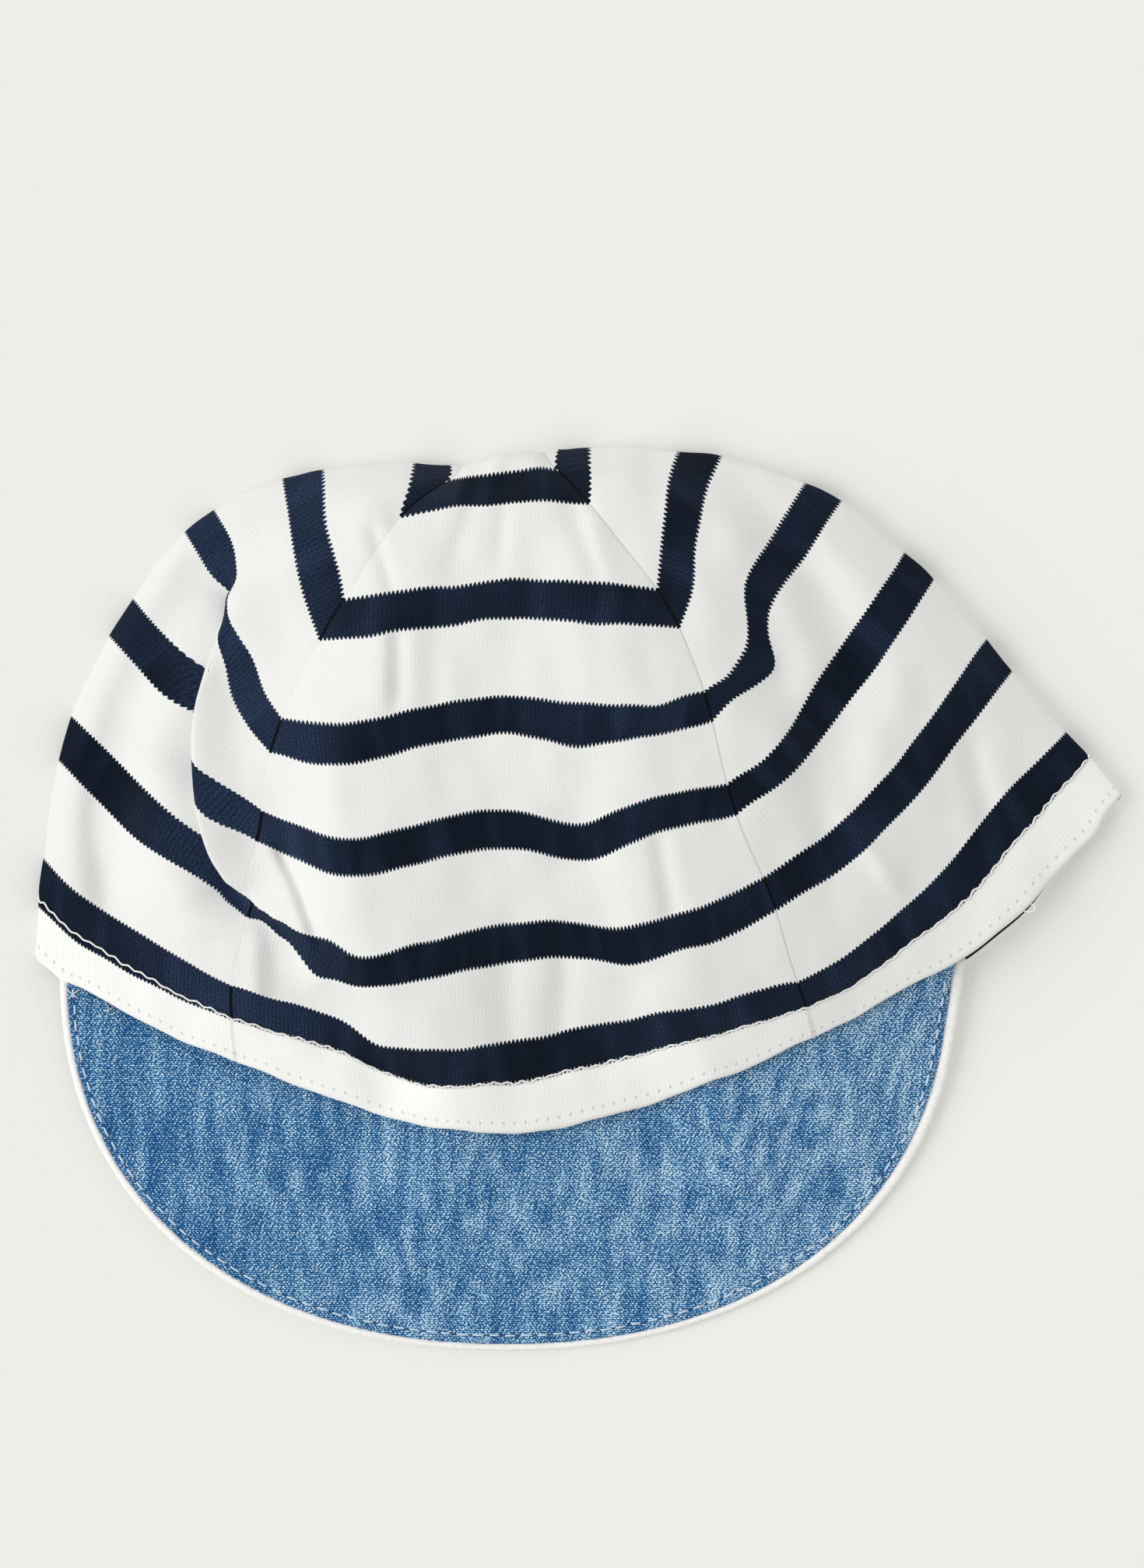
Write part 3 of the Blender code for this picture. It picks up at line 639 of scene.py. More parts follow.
def jerseyMaterial():
    # u runs across the ribs and v up them, both in mm on the cloth, so stripes and ribs follow every fold
    n = Nodes("striped_jersey", 0.9)
    cloth, place = n.uvMap("cloth"), n.objectPlace()
    u, v, _ = n.split(cloth)
    fromSeam, up, _ = n.split(n.uvMap("seam"))
    x, _, _ = n.split(n.scaled(place, inMm))
    wale = u / jersey["walePitch"]
    rib = n.ripple(wale)  # 0 in a groove, 1 on a rib
    lean = n.math("PINGPONG", wale, 0.5) * (2 * jersey["courseLean"])
    loop = n.ripple(v / jersey["coursePitch"] + lean)
    fuzz = n.noise(n.scaled(cloth, jersey["fuzzScale"]), *jersey["fuzz"])

    def within(sides):
        return n.step(x, *sides[0]) * n.step(x, *sides[1])

    # a stripe's edge has a tooth on each rib
    ragged = (n.noise(n.scaled(cloth, jersey["raggedScale"])) - 0.5) * jersey["toothRagged"]
    depth = within(jersey["front"]) * jersey["toothMore"] + jersey["toothDepth"]
    tooth = (rib - jersey["toothMiddle"] + ragged) * (depth * 2.0)
    lowest = jersey["stripePitch"] * 1.5 - jersey["lowestStripe"]
    fromStripe = abs((v + lowest) % jersey["stripePitch"] - jersey["stripePitch"] / 2)
    inside = tooth + jersey["stripeWidth"] / 2 - fromStripe
    stripe = n.step(inside, -jersey["stripeSoft"], jersey["stripeSoft"])
    # the white is painted a little darker in the knit's grooves, as shade, and varies at random with the
    # fuzz
    tone = n.step(rib * jersey["ribTone"] + fuzz * jersey["fuzzTone"], *jersey["toneRange"])
    white = n.mix(tone, jersey["whiteShade"], jersey["white"])
    # the hem is painted brighter than the gores, as the light it catches
    white = n.mix(n.step(up, *jersey["hemBorder"]), white, jersey["hemLitWhite"])
    # the navy is lighter where worn, in patches and in runs along the ribs, and lighter still on the big
    # fold on the left, painted sheen where the light rakes it
    patches = n.step(n.noise(place, *jersey["patches"]), *jersey["patchRange"])
    runs = n.step(n.noise(n.scaled(cloth, jersey["runScale"])), *jersey["runRange"])
    bigFold = within(jersey["bigFold"])
    wearAndSheen = patches * jersey["patchWear"] + bigFold * jersey["foldSheen"] + runs * jersey["runWear"]
    fuzzWearAndSheen = n.step(fuzz, *jersey["wearAndSheenRange"]) * (wearAndSheen + jersey["wornLeast"])
    ribWearAndSheen = rib * (wearAndSheen + jersey["ribWornLeast"]) * jersey["ribWearAndSheenShare"]
    navy = n.mix(n.math("ADD", fuzzWearAndSheen, ribWearAndSheen, clamp=True), jersey["navy"], jersey["navyWearAndSheen"])
    # the seam's painted shadow on the navy, near black
    navy = n.mix(1.0 - n.step(fromSeam, *jersey["seamOnNavy"]), navy, jersey["navySeamShadow"])
    colour = n.mix(stripe, white, navy)
    # needle marks in a row along the hem, painted darker as the shade in their holes, and the painted
    # shadow line of a seam
    alongHem = n.math("PINGPONG", u / jersey["stitchPitch"], 0.5) * jersey["stitchPitch"]
    fromMark = n.math("SQRT", alongHem ** 2.0 + (up - jersey["stitchUp"]) ** 2.0)
    mark = 1.0 - n.step(fromMark, *jersey["markRim"])
    seam = 1.0 - n.step(fromSeam, *jersey["seamLine"])
    colour = n.mix(mark * jersey["markTone"], colour, jersey["needleHoleShade"])
    least, more = jersey["seamTone"]
    seamShadow = seam * (n.step(x, *jersey["seamClear"]) * more + least)
    colour = n.mix(seamShadow, colour, jersey["seamShade"], "MULTIPLY")
    tall = jersey["heights"]
    raised = rib * tall["rib"] + loop * rib * tall["loop"] + fuzz * tall["fuzz"]
    return n.paint(colour, raised - (mark * tall["mark"] + seam * tall["seam"]), *jersey["relief"])


chambray = {
    "deep": srgb(14, 70, 126),
    "warp": srgb(56, 124, 176),
    "weft": srgb(214, 240, 252),
    "fade": 0.006,  # how much paler the cloth gets per mm to the right
    "crossing": (0.40, 0.34),  # mm from one crossing of threads to the next
    # the weave: waves per mm along x and y, and height
    "lattice": ((0.0, 2.252, 1.1), (1.437, 0.863, 0.6), (1.438, -1.389, 0.6)),
    "wander": (0.45, 0.3),  # how often per mm and how far, in waves, the threads wander
    # worn streaks, broad patches and slubs: scale per mm, detail, height
    "streaks": (((0.42, 0.028, 1), 0.0, 3.6), ((0.07, 0.05, 1), 1.0, 1.2), ((0.12, 0.9, 1), 1.0, 1.0)),
    "crossingTone": 3.9,
    "weaveTone": 1.2,
    "pale": (0.0, 3.0),  # tone from which the warp turns to weft, and where it is all weft
    "dark": (0.1, -2.2),
    "heights": {"weave": 0.4, "crossing": 0.5},
    "relief": (0.00012, 0.8),
}


def chambrayMaterial():
    # plain weave: pale weft floats in brick order on blue warp, with slubs, and worn streaks along the warp
    n = Nodes("chambray", 0.85)
    mm = n.scaled(n.objectPlace(), inMm)
    x, y, _ = n.split(mm)
    often, far = chambray["wander"]
    wander = (n.noise(mm, often, 0.0) - 0.5) * far
    weave = sum(n.math("COSINE", (x * alongX + (y * alongY + wander)) * (2 * math.pi)) * tall
                for alongX, alongY, tall in chambray["lattice"])
    # each crossing of two threads has its own tone, in brick order, darker where its neighbours are pale
    row = n.math("FLOOR", y / chambray["crossing"][1])
    column = n.math("FLOOR", x / chambray["crossing"][0] + row * 0.5)
    beside = n.cell(column + 1.0, row) + n.cell(column, row + 1.0)
    crossing = n.cell(column, row) + 0.5 - beside * 0.5
    tone = weave * chambray["weaveTone"] + (crossing - 0.5) * chambray["crossingTone"]
    tone = tone + x * chambray["fade"]
    for scale, detail, tall in chambray["streaks"]:
        tone = tone + (n.noise(n.scaled(mm, scale), 1.0, detail) - 0.5) * tall
    colour = n.mix(n.step(tone, *chambray["pale"]), chambray["warp"], chambray["weft"])
    colour = n.mix(n.step(tone, *chambray["dark"]), colour, chambray["deep"])
    tall = chambray["heights"]
    return n.paint(colour, weave * tall["weave"] + crossing * tall["crossing"], *chambray["relief"])


thread = {
    "white": srgb(248, 248, 245),
    "piping": srgb(246, 245, 242),
    "blue": srgb(208, 226, 240),
    # painted shade of the pinch between two stitches
    "pinch": srgb(42, 80, 126),
    "pitch": 0.5,  # mm from one ridge of the twist to the next
    "groove": 0.86,  # a groove's painted shade: its colour over a ridge's
    "twistTone": 0.2,
    "toneRange": (0.2, 0.6),
    "pipingTwist": 0.15,  # the piping is cloth, with only a hint of the twist
    "fuzz": (1.5, 2.0),
    "relief": (0.00005, 0.6),
}


def threadMaterial(name, colour, twisted=1.0):
    # twisted thread: fine slanting ribs along the piece's own length (u, mm) and round it (v, turns)
    n = Nodes(name, 0.8)
    u, v, _ = n.split(n.uvMap("cloth"))
    twist = n.math("SINE", (u / thread["pitch"] + v) * (2 * math.pi))
    fuzz = n.noise(n.scaled(n.objectPlace(), inMm), *thread["fuzz"])
    # the twist's grooves are painted darker, as shade
    shade = tuple(thread["groove"] * c for c in colour[:3]) + (1.0,)
    tone = n.step(twist * (thread["twistTone"] * twisted) + fuzz, *thread["toneRange"])
    return n.paint(n.mix(tone, shade, colour), twist * twisted + fuzz, *thread["relief"])


jerseyCloth = jerseyMaterial()
chambrayCloth = chambrayMaterial()
pipingCloth = threadMaterial("white_piping", thread["piping"], thread["pipingTwist"])
whiteThread = threadMaterial("white_thread", thread["white"])
blueThread = threadMaterial("blue_thread", thread["blue"])
# painted shade for the pinches between the peak's stitches
pinchShadeThread = threadMaterial("stitch_pinch_shade", thread["pinch"])
print("materials made")

# the crown's four gores
gore = {
    "spacing": {"front": 0.00078, "left": 0.00078, "right": 0.00078, "back": 0.0012},
    "middle": {"front": 0.0, "left": -2.0, "right": 2.0, "back": 4.0},  # half gores
    "tip": 0.00004,  # a gore stops this far under the tip
    "seamDip": 0.00004,  # depth and half-width of the groove at a seam
    "seamWidth": 0.0007,
    "seamFade": 0.004,  # half-width of a gore below which the groove gets shallower
    "leftSeam": 0.3,  # the left seam lies flatter, over the others
    "sewnHigher": 0.0014,  # how much more navy shows under the stitches on the left
    "sewnFrom": (-0.8, 0.7),  # half gores: where that starts, and how soon it is all there
    "sewnFade": 0.006,
    "stitchDip": 0.00025,  # groove where the hem is stitched
    "stitchWidth": 0.0009,
}


def seamGroove(across, height):
    # distance to the nearest seam, and a Gaussian groove there that fades out at the tip
    half = halfGore(height)
    away = np.abs((across % 2) - 1) * half
    dip = gore["seamDip"] * bell(away / gore["seamWidth"]) * np.clip(half / gore["seamFade"], 0, 1)
    dip = np.where(np.abs(across + 1) < 0.5, gore["leftSeam"] * dip, dip)
    return dip + gore["stitchDip"] * bell((height - cap["hemDepth"]) / gore["stitchWidth"])


def patternHeight(across, height):
    # where a point lies on the striped cloth: on the left the cloth was sewn in a little higher
    start, over = gore["sewnFrom"]
    left = np.where(across > -4, np.clip((start - across) / over, 0, 1), 0)
    above = np.maximum(height - cap["hemDepth"], 0)
    return height + gore["sewnHigher"] * left * np.exp(-above / gore["sewnFade"])


def makeGore(name):
    # a grid up the gore and across it, from seam to seam
    middle, spacing = gore["middle"][name], gore["spacing"][name]
    rows = int((cap["panelHeight"] - cap["hemDepth"]) / spacing)
    columns = int(cap["headRound"] / cap["gores"] / spacing)
    height = np.repeat(np.linspace(cap["hemDepth"], cap["panelHeight"] - gore["tip"], rows), columns)
    local = np.tile(np.linspace(-1, 1, columns), rows)
    across = middle + local
    points = surface(across, height) - facing(across, height) * seamGroove(across, height)[:, None]
    uv = np.column_stack((local * halfGore(height), patternHeight(across, height))) * 1000
    seamUv = np.column_stack(((1 - np.abs(local)) * halfGore(height), height)) * 1000
    mesh = gridMesh(name + "_gore", points.reshape(rows, columns, 3), uv, seamUv)
    sharpBorder(mesh, rows, columns)
    piece = addPiece(name + "_gore", mesh, jerseyCloth)
    addWall(piece, cap["jersey"])
    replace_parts(piece, "crown_panel_" + name)
    return len(mesh.polygons)


print("gores made, faces:", {name: makeGore(name) for name in gore["middle"]})

# the turned hem
hem = {
    "spacing": 0.0009,
    "rowsOut": 12,  # rows up the outside, round the edge and up the inside
    "rowsEdge": 9,
    "rowsIn": 8,
    "innerPattern": 7.2,  # mm, how far the stripes inside are shifted from a plain turn
    "seamShare": 0.3,  # a seam's groove on the hem, over the groove on the gores
}


def makeHem():
    # profile: down the outside, half a circle round the edge, up the inside
    radius, depth = cap["hemThickness"] / 2, cap["hemDepth"]
    turn = np.linspace(0, math.pi, hem["rowsEdge"])
    outside = np.linspace(depth, radius, hem["rowsOut"])[:-1]
    inside = np.linspace(radius, depth, hem["rowsIn"])[1:]
    up = np.concatenate((outside, radius * (1 - np.sin(turn)), inside))
    deep = np.concatenate((0 * outside, radius * (1 - np.cos(turn)), 0 * inside + 2 * radius))
    onCloth = np.concatenate((outside, radius * (1 - 2 * turn / math.pi), -inside))
    columns = int(cap["headRound"] / hem["spacing"])
    a = np.tile(np.linspace(-4, 4, columns, endpoint=False), len(up))
    up, deep, onCloth = (np.repeat(values, columns) for values in (up, deep, onCloth))
    sink = np.where(deep == 0, seamGroove(a, up) * hem["seamShare"], 0)
    points = surface(a, up) - facing(a, up) * (deep + sink)[:, None]
    local = (a + 1) % 2 - 1
    half = halfGore(np.zeros(1)) * 1000
    v = patternHeight(a, onCloth) * 1000 - np.where(onCloth < 0, hem["innerPattern"], 0)
    # rows run from the top of the outside to the top of the inside, so the grid is turned to face out
    points, uv, seamUv = (values.reshape(-1, columns, values.shape[1])[::-1] for values in (
        points, np.column_stack((local * half, v)),
        np.column_stack(((1 - np.abs(local)) * half, onCloth * 1000))))
    mesh = gridMesh("hem", points, uv, seamUv, wrapAcross=True, wrapUp=True)
    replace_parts(addPiece("hem", mesh, jerseyCloth), "hem_band")


makeHem()
print("hem made")

# the peak
peak = {
    "middle": (-0.127, 0.233),  # share of the flat sizes
    "ends": (-1.52, 1.52),  # half gores
    "tipLift": 0.10,  # over rise
    "tuck": 0.0045,
    "tuckRows": 5,
    "gap": 0.0008,
    "columns": 360,
    "rows": 60,
    "edgeRows": 9,
    "edgeInset": 0.0003,  # the top turns down this far from the edge
    "dome": 0.35,  # how round the top comes down to the edge, 0 for straight
    "puckers": ((0.0127, 0.00022, 0.0), (0.0079, 0.000132, 1.0)),  # pitch, height, phase
    "puckerInset": 0.005,
    "puckerReach": 0.007,
    "flare": 0.0009,  # the right tip stands out by this much
    "flareReach": 0.007,
    "crowded": 0.65,  # how much closer the columns stand at the tips
}


def peakEdge(turn, outwards=0.0):
    # superellipse from the left tip (turn 0) to the right tip (turn 1), moved square to itself
    angle = math.pi * (1 - np.asarray(turn, float))
    power = 2 / cap["peakSquareness"]
    down = np.abs(np.sin(angle)) ** power * cap["peakDepth"]
    flare = peak["flare"] * bell(down / peak["flareReach"]) * (np.cos(angle) > 0)
    wide = np.sign(np.cos(angle)) * np.abs(np.cos(angle)) ** power * cap["peakHalfWidth"] + flare
    plan = np.array(peak["middle"]) * flatSize + np.column_stack((wide, -down))
    way = unit(np.gradient(plan, axis=0))
    return plan + outwards * np.column_stack((way[:, 1], -way[:, 0])) + shift[:2]


def edgeLift(turn):
    # both tips stand up a little
    return peak["tipLift"] * cap["rise"] * (1 - np.sin(math.pi * np.asarray(turn, float))) ** 2


def spreadTurn(count):
    # places along the edge, closer together near the tips
    along = np.cos(math.pi * np.linspace(0, 1, count))
    return 0.5 - 0.5 * along * (1 - peak["crowded"] + peak["crowded"] * np.sqrt(np.abs(along)))


def lengthAlong(path):
    # how far along a path each of its points is
    return np.concatenate(((0.0,), np.cumsum(np.linalg.norm(np.diff(path, axis=0), axis=1))))


def waves(gone, parts):
    # sum of sine waves along a length, each with its pitch, height and phase
    return sum(tall * np.sin(gone / pitch * 2 * math.pi + phase) for pitch, tall, phase in parts)


def peakTop(turn, share):
    # the cloth's upper side, rows by columns: behind the hem for a share below 0, then straight in plan
    # from the hem's underside to the free edge, easing down in height
    across = peak["ends"][0] + (peak["ends"][1] - peak["ends"][0]) * turn
    under = cap["hemThickness"] + peak["gap"]
    edge = np.column_stack((peakEdge(turn, -peak["edgeInset"]), cap["peakThickness"] + edgeLift(turn)))
    pucker = waves(lengthAlong(peakEdge(turn)), peak["puckers"])
    rows = []
    for s in share:
        up = np.full(len(turn), max(-s, 0) * cap["hemDepth"])
        row = surface(across, up) - facing(across, up) * under
        if s >= 0:
            ease = s ** 2 * (3 - 2 * s) * peak["dome"] + s * (1 - peak["dome"])
            row += (edge - row) * np.array((s, s, ease))
            toEdge = np.linalg.norm(row[:, :2] - edge[:, :2], axis=1)
            row[:, 2] += pucker * bell((toEdge - peak["puckerInset"]) / peak["puckerReach"]) * s ** 4
        rows.append(row)
    return np.array(rows)


def makePeak():
    # a closed section for each column: the top, half an ellipse round the edge, the underside
    around = np.linspace(0, math.pi, peak["edgeRows"])[1:-1]
    middle = cap["peakThickness"] / 2
    lift = edgeLift(peakTurn)
    edge = [np.column_stack((peakEdge(peakTurn, -peak["edgeInset"] * (1 - math.sin(angle))),
                             lift + middle * (1 + math.cos(angle)))) for angle in around]
    below = peakGrid[::-1] - np.array((0, 0, cap["peakThickness"]))
    below[..., 2] = np.maximum(below[..., 2], 0)
    points = np.concatenate((peakGrid, edge, below))[::-1]
    mesh = gridMesh("peak_cloth", points, points[..., :2] * 1000, wrapUp=True)
    piece = addPiece("peak_cloth", mesh, chambrayCloth)
    closeEnds(mesh, points)
    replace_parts(piece, "peak")


def closeEnds(mesh, points):
    # one many-sided face over each open end of a wrapped grid
    rows, columns = points.shape[:2]
    shell = bmesh.new()
    shell.from_mesh(mesh)
    shell.verts.ensure_lookup_table()
    for column, order in ((0, range(rows)), (columns - 1, range(rows - 1, -1, -1))):
        shell.faces.new([shell.verts[row * columns + column] for row in order])
    shell.to_mesh(mesh)
    shell.free()


peakTurn = spreadTurn(peak["columns"])
tuckShares = np.linspace(-peak["tuck"] / cap["hemDepth"], 0, peak["tuckRows"] + 1)[:-1]
peakGrid = peakTop(peakTurn, np.concatenate((tuckShares, np.linspace(0, 1, peak["rows"]))))
makePeak()


def tubes(name, paths, size, sides=6, flatten=1.0):
    # round tubes along many paths at once (path, point, 3): each ring stands square to its path
    way = unit(np.gradient(paths, axis=1))
    side = unit(np.cross(way, (0.0, 0.0, 1.0)))
    over = np.cross(way, side)  # downwards, so that the rings run the way round that faces out
    angle = np.linspace(0, 2 * math.pi, sides, endpoint=False)
    size = np.broadcast_to(np.asarray(size, float), paths.shape[:2]).copy()
    size[:, 0] = size[:, -1] = tiny
    flatten = np.broadcast_to(flatten, size.shape)[..., None, None]
    ring = np.cos(angle)[:, None] * side[:, :, None] + flatten * np.sin(angle)[:, None] * over[:, :, None]
    points = paths[:, :, None] + ring * size[..., None, None]
    gone = np.cumsum(np.linalg.norm(np.diff(paths, axis=1, prepend=paths[:, :1]), axis=2), axis=1)
    uv = np.stack(np.broadcast_arrays(gone[..., None] * 1000, angle / 2 / math.pi), -1)
    mesh = gridMesh(name, points.reshape(-1, sides, 3), uv.reshape(-1, sides, 2), wrapAcross=True)
    # the faces that would join one tube to the next go away, and the ring at each end closes to a point
    count, steps = paths.shape[:2]
    rows = np.repeat(np.arange(count * steps - 1), sides)
    shell = bmesh.new()
    shell.from_mesh(mesh)
    shell.faces.ensure_lookup_table()
    joins = [shell.faces[int(i)] for i in np.flatnonzero(rows % steps == steps - 1)]
    bmesh.ops.delete(shell, geom=joins, context="FACES_KEEP_BOUNDARY")
    bmesh.ops.remove_doubles(shell, verts=shell.verts, dist=4 * tiny)
    shell.to_mesh(mesh)
    shell.free()
    return mesh


piping = {
    "columns": 700,
    "sides": 16,
    "gap": -0.0003,  # it is sewn between the peak's two layers
    "places": (0, 0.16, 0.34, 0.66, 0.86, 0.97, 1),  # along the edge
    "widths": (1.05, 1.05, 1.0, 1.0, 1.58, 1.58, 1.58), # half-width there over half the thickness
    "ripples": ((0.0033, 0.02, 0.0), (0.0111, 0.035, 0.0)),  # pitch, share of the width, phase
    "tall": 0.95,  # height over thickness
    "lies": 1.05,  # height of its middle over half its height
    "leftEnd": (-0.0002, 0.0014, -0.0003),  # how far each end runs on under the hem
    "rightEnd": (0.0008, 0.0036, 0.0014),
    "endSteps": 8,
}


def makePiping():
    # a folded strip of cloth round the free edge, wider at the tips, that swells a little between stitches
    radius = cap["pipingThickness"] / 2
    turn = spreadTurn(piping["columns"])
    gone = lengthAlong(peakEdge(turn))
    wide = radius * np.interp(gone / gone[-1], piping["places"], piping["widths"])
    size = wide * (1 + waves(gone, piping["ripples"]))
    plan = peakEdge(turn) + (peakEdge(turn, 1.0) - peakEdge(turn)) * (wide + piping["gap"])[:, None]
    tall = radius * piping["tall"]
    path = np.column_stack((plan, piping["lies"] * tall + edgeLift(turn)))
    steps = piping["endSteps"]
    beyond = np.linspace(0, 1, steps + 1)[1:, None]
    first = path[0] + np.array(piping["leftEnd"]) * beyond[::-1]
    last = path[-1] + np.array(piping["rightEnd"]) * beyond
    path = np.concatenate((first, path, last))
    size = np.pad(size, steps, mode="edge")
    mesh = tubes("piping", path[None], size, piping["sides"], tall / size)
    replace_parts(addPiece("piping", mesh, pipingCloth), "peak_piping")


makePiping()
print("peak and piping made")

# stitches
stitches = {
    "hemUp": 0.0101,  # height of the coverstitch on the hem
    "hemPitch": 0.0032,
    "hemSway": 0.00020,
    "hemRound": 0.93,  # 1 for a sharp zigzag, 0 for a sine wave
    "hemDrift": ((0.0131, 0.5, 0.0), (0.0047, 0.35, 2.0)),  # pitch, height over the sway, phase
    "hemSwell": ((0.021, 0.3, 0.0),),
    "hemThread": 0.00019,
    "hemEnds": (-1.81, 2.30),  # half gores
    "hemPoints": 2200,
    "peakInset": [0.0012, 0.0013, 0.0018, 0.0018, 0.0014, 0.0013],  # from the left tip to the right tip
    "peakPitch": 0.0033,
    "peakLength": 0.0024,
    "peakEnds": (0.003, 0.004),  # the row starts and stops this far from the tips
    "peakThread": 0.00020,
    "arch": (1.5, -0.6),  # rise to the middle and height of both ends, over the thread's radius
    "uneven": (0.00015, 0.00005),  # how far a stitch strays along the row and off it
    "lengths": (0.9, 1.05),
    "pinchOver": 0.15,  # a pinch runs on under both stitches, over its own length
    "pinchFlat": 0.35,
    "pinchShadeRadius": 0.00018,
    "lies": 0.7,  # height of the hem's thread over the cloth, over its radius
    "seed": 7,
}


def makeCoverstitch():
    # a wave of thread on the hem's outer surface, a triangle wave with its corners rounded
    across = np.linspace(*stitches["hemEnds"], stitches["hemPoints"])
    gone = (across - across[0]) * halfGore(np.zeros(1))[0]
    peaked = stitches["hemRound"]
    wave = np.arcsin(peaked * np.sin(gone / stitches["hemPitch"] * 2 * math.pi)) / math.asin(peaked)
    sway = wave * (1 + waves(gone, stitches["hemSwell"])) + waves(gone, stitches["hemDrift"])
    up = stitches["hemUp"] + stitches["hemSway"] * sway
    path = surface(across, up) + facing(across, up) * stitches["hemThread"] * stitches["lies"]
    mesh = tubes("hem_stitch", path[None], stitches["hemThread"])
    addPiece("hem_stitch", mesh, whiteThread)


def heightOn(grid, plan, batch=64):
    # height of a surface under places in plan, from its three nearest points
    flat = grid.reshape(-1, 3)
    heights = []
    for places in np.split(plan, range(batch, len(plan), batch)):
        away = ((places[:, None] - flat[None, :, :2]) ** 2).sum(axis=2)
        nearest = np.argpartition(away, 3, axis=1)[:, :3]
        weight = 1 / (np.take_along_axis(away, nearest, 1) + tiny ** 2)
        heights.append((weight * flat[nearest, 2]).sum(axis=1) / weight.sum(axis=1))
    return np.concatenate(heights)


def makeTopstitch():
    # a row of short threads on the peak, each an arch that dips into the cloth at both ends
    chance = np.random.default_rng(stitches["seed"])
    order = np.linspace(0, 1, 3001)
    inset = np.interp(order, np.linspace(0, 1, len(stitches["peakInset"])), stitches["peakInset"])
    line = peakEdge(order, -inset[:, None])
    gone = lengthAlong(line)
    alongRow, offRow = stitches["uneven"]
    starts = np.arange(stitches["peakEnds"][0], gone[-1] - stitches["peakEnds"][1], stitches["peakPitch"])
    starts += chance.uniform(-alongRow, alongRow, len(starts))
    t = np.linspace(0, 1, 9)
    lengths = stitches["peakLength"] * chance.uniform(*stitches["lengths"], len(starts))
    at = starts[:, None] + t * lengths[:, None]
    plan = np.stack((np.interp(at, gone, line[:, 0]), np.interp(at, gone, line[:, 1])), -1)
    plan += chance.normal(0, offRow, (len(starts), 1, 2))
    level = heightOn(peakGrid, plan.reshape(-1, 2)).reshape(at.shape)
    rise, ends = stitches["arch"]
    arch = level + stitches["peakThread"] * (np.sin(t * math.pi) * rise + ends)
    mesh = tubes("peak_stitches", np.dstack((plan, arch)), stitches["peakThread"])
    addPiece("peak_stitches", mesh, blueThread)
    # between two stitches the thread goes down into a short pinch in the cloth; a dark flat tube there is
    # the pinch's painted shade
    onCloth = np.dstack((plan, level))
    first, last = onCloth[:-1, -1:], onCloth[1:, :1]
    reach = np.linspace(-stitches["pinchOver"], 1 + stitches["pinchOver"], 5)[None, :, None]
    mesh = tubes("peak_pinch_shade", first + (last - first) * reach, stitches["pinchShadeRadius"],
                 flatten=stitches["pinchFlat"])
    addPiece("peak_pinch_shade", mesh, pinchShadeThread)


# cut ends and a loop of thread, each given by a few points in mm as the cap lies
loose = {
    "ends": [
        ((-105.4, -18.2), (-104.3, -19.4), (-103.0, -20.3)),
        ((-105.0, -20.4), (-104.0, -19.3), (-102.6, -18.4)),
        ((-97.6, -20.9), (-96.8, -22.1), (-96.9, -23.4)),
        ((-95.6, -21.9), (-96.5, -22.6), (-97.9, -22.8)),
    ],
    "loop": [(91.0, -1.6), (93.2, -2.3), (94.9, -2.0), (94.6, -0.9), (93.2, -0.9), (91.9, -2.2)],
    "thin": 0.7,  # a loose thread's radius over the radius of the same thread when sewn
    "above": 1.2,  # height of the cut ends over the peak, over the thread's radius
    "loopHeight": 0.26,  # over rise
    "loopSway": 0.0004,
}


def makeLooseThreads():
    plans = [smoothLine(points, 5) / 1000 for points in loose["ends"]]
    above = stitches["peakThread"] * loose["above"]
    paths = np.array([np.column_stack((plan, heightOn(peakGrid, plan) + above)) for plan in plans])
    mesh = tubes("loose_ends", paths, stitches["peakThread"] * loose["thin"])
    addPiece("loose_ends", mesh, blueThread)
    plan = smoothLine(loose["loop"], 6) / 1000
    level = cap["rise"] * loose["loopHeight"] + loose["loopSway"] * np.sin(np.linspace(0, 5, len(plan)))
    mesh = tubes("loose_loop", np.column_stack((plan, level))[None], stitches["hemThread"] * loose["thin"])
    addPiece("loose_loop", mesh, whiteThread)


makeCoverstitch()
makeTopstitch()
makeLooseThreads()
print("stitches made")

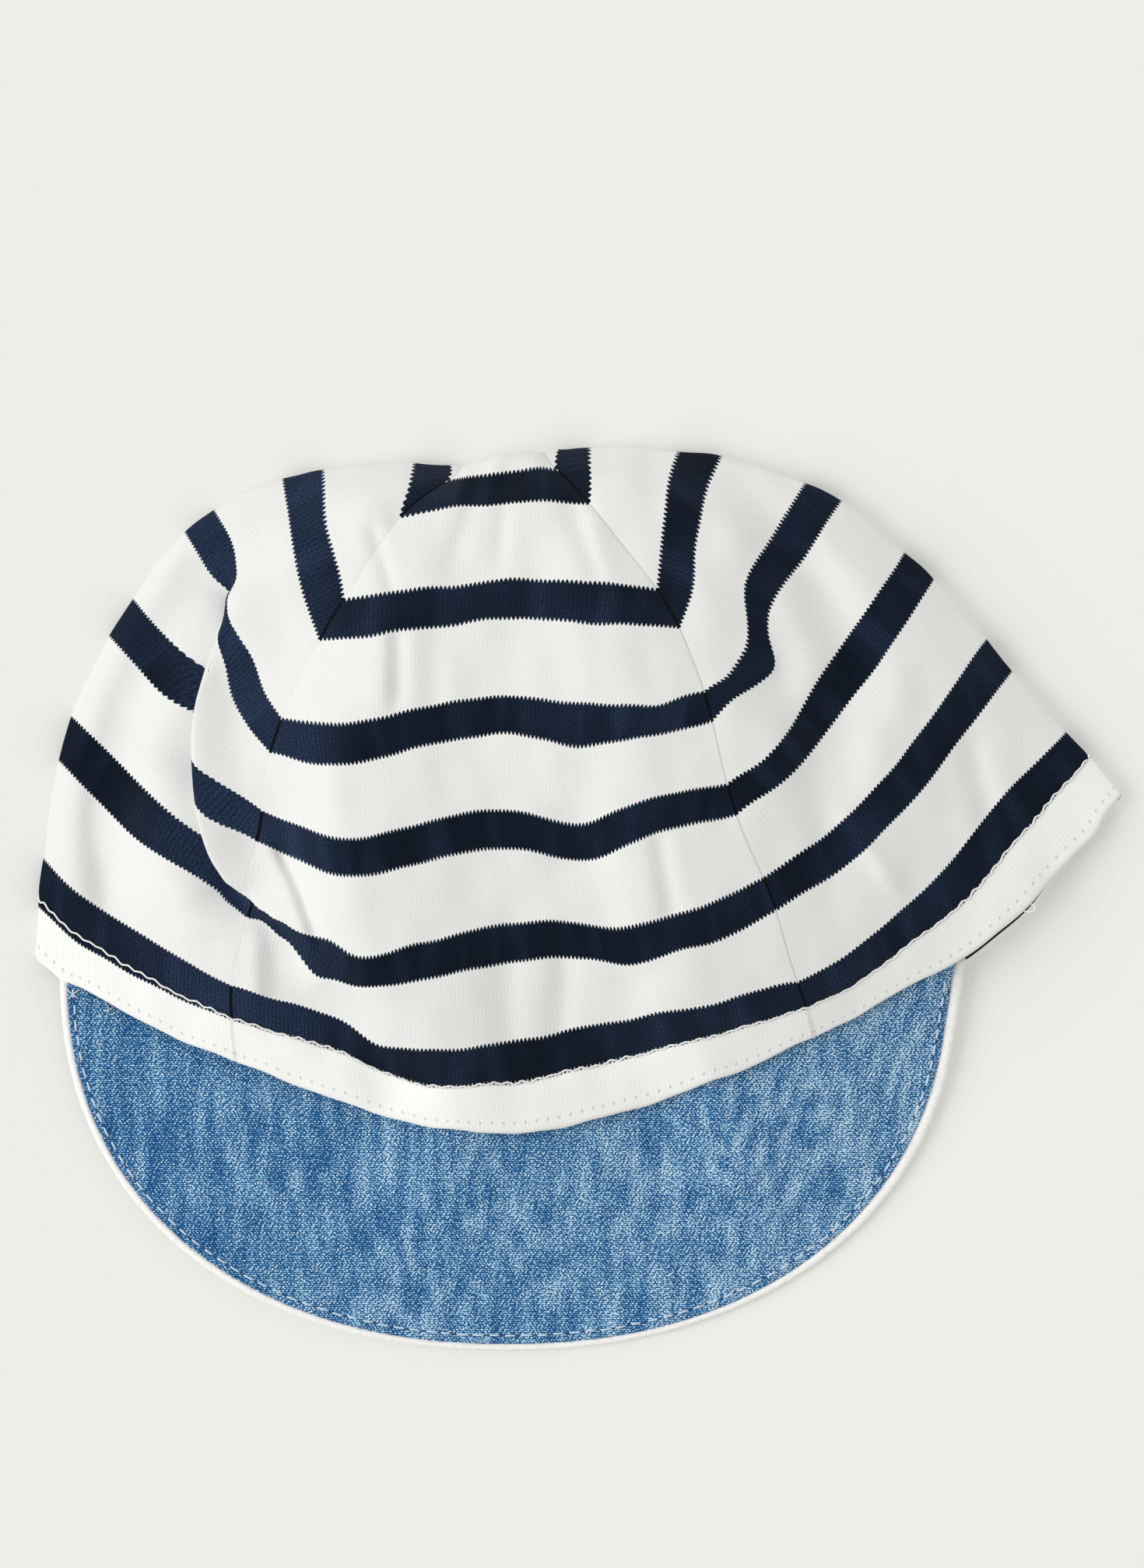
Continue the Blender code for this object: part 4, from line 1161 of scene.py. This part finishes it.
# floor, light, camera
studio = {
    "floorColour": srgb(236, 236, 232),
    "floorGlow": 0.35,  # share of the floor's brightness that it gives off itself: painted light that makes shadows on it fainter
    "floorSide": 6.0,
    "imagePixels": (1470, 2014),
    "pixelsPerMm": 6.2,
    "middlePixel": (740.0, 1156.3),  # the photo's pixel at the model's origin
    "cameraHeight": 4.0,
    "suns": {  # strength, angle across, where it shines from
        "window": (2.12, 0.9, (-1.0, -0.15, 0.75)),
        "reflector": (1.0, 1.3, (0.75, 0.85, 0.6)),
    },
    "room": 0.462,
    "roomColour": (1.0, 1.0, 0.985, 1.0),
}


def makeFloor():
    side = studio["floorSide"]
    mesh = bpy.data.meshes.new("floor")
    corners = [(-side, -side, 0), (side, -side, 0), (side, side, 0), (-side, side, 0)]
    mesh.from_pydata(corners, [], [(0, 1, 2, 3)])
    n = Nodes("floor", 0.9, 0.0)
    # the floor glows, painted light that makes the cap's shadows on it fainter
    lit = tuple((1 - studio["floorGlow"]) * c for c in studio["floorColour"][:3]) + (1.0,)
    n.shader.inputs["Base Color"].default_value = lit
    n.shader.inputs["Emission Color"].default_value = studio["floorColour"]
    n.shader.inputs["Emission Strength"].default_value = studio["floorGlow"]
    mesh.materials.append(n.material)
    floor = bpy.data.objects.new("floor", mesh)
    bpy.context.scene.collection.objects.link(floor)


def makeLight():
    for name, (energy, angle, place) in studio["suns"].items():
        lamp = bpy.data.lights.new(name, "SUN")
        lamp.angle = angle
        lamp.energy = energy
        holder = bpy.data.objects.new(name, lamp)
        holder.location = place
        holder.rotation_mode = "QUATERNION"
        holder.rotation_quaternion = holder.location.to_track_quat("Z", "Y")
        bpy.context.scene.collection.objects.link(holder)
    world = bpy.data.worlds.new("room")
    world.use_nodes = True
    world.node_tree.nodes["Background"].inputs["Color"].default_value = studio["roomColour"]
    world.node_tree.nodes["Background"].inputs["Strength"].default_value = studio["room"]
    bpy.context.scene.world = world
    bpy.context.scene.view_settings.view_transform = "Standard"


def makeCamera():
    # straight above, framed so that the photo's pixels fall where they were measured
    wide, tall = studio["imagePixels"]
    right, down = studio["middlePixel"]
    scale = studio["pixelsPerMm"] * 1000
    data = bpy.data.cameras.new("camera")
    data.lens = data.sensor_width * studio["cameraHeight"] / (tall / scale)
    data.clip_end = 100
    camera = bpy.data.objects.new("camera", data)
    camera.location = ((wide / 2 - right) / scale, (down - tall / 2) / scale, studio["cameraHeight"])
    bpy.context.scene.collection.objects.link(camera)
    bpy.context.scene.camera = camera


makeFloor()
makeLight()
makeCamera()
print("studio made")
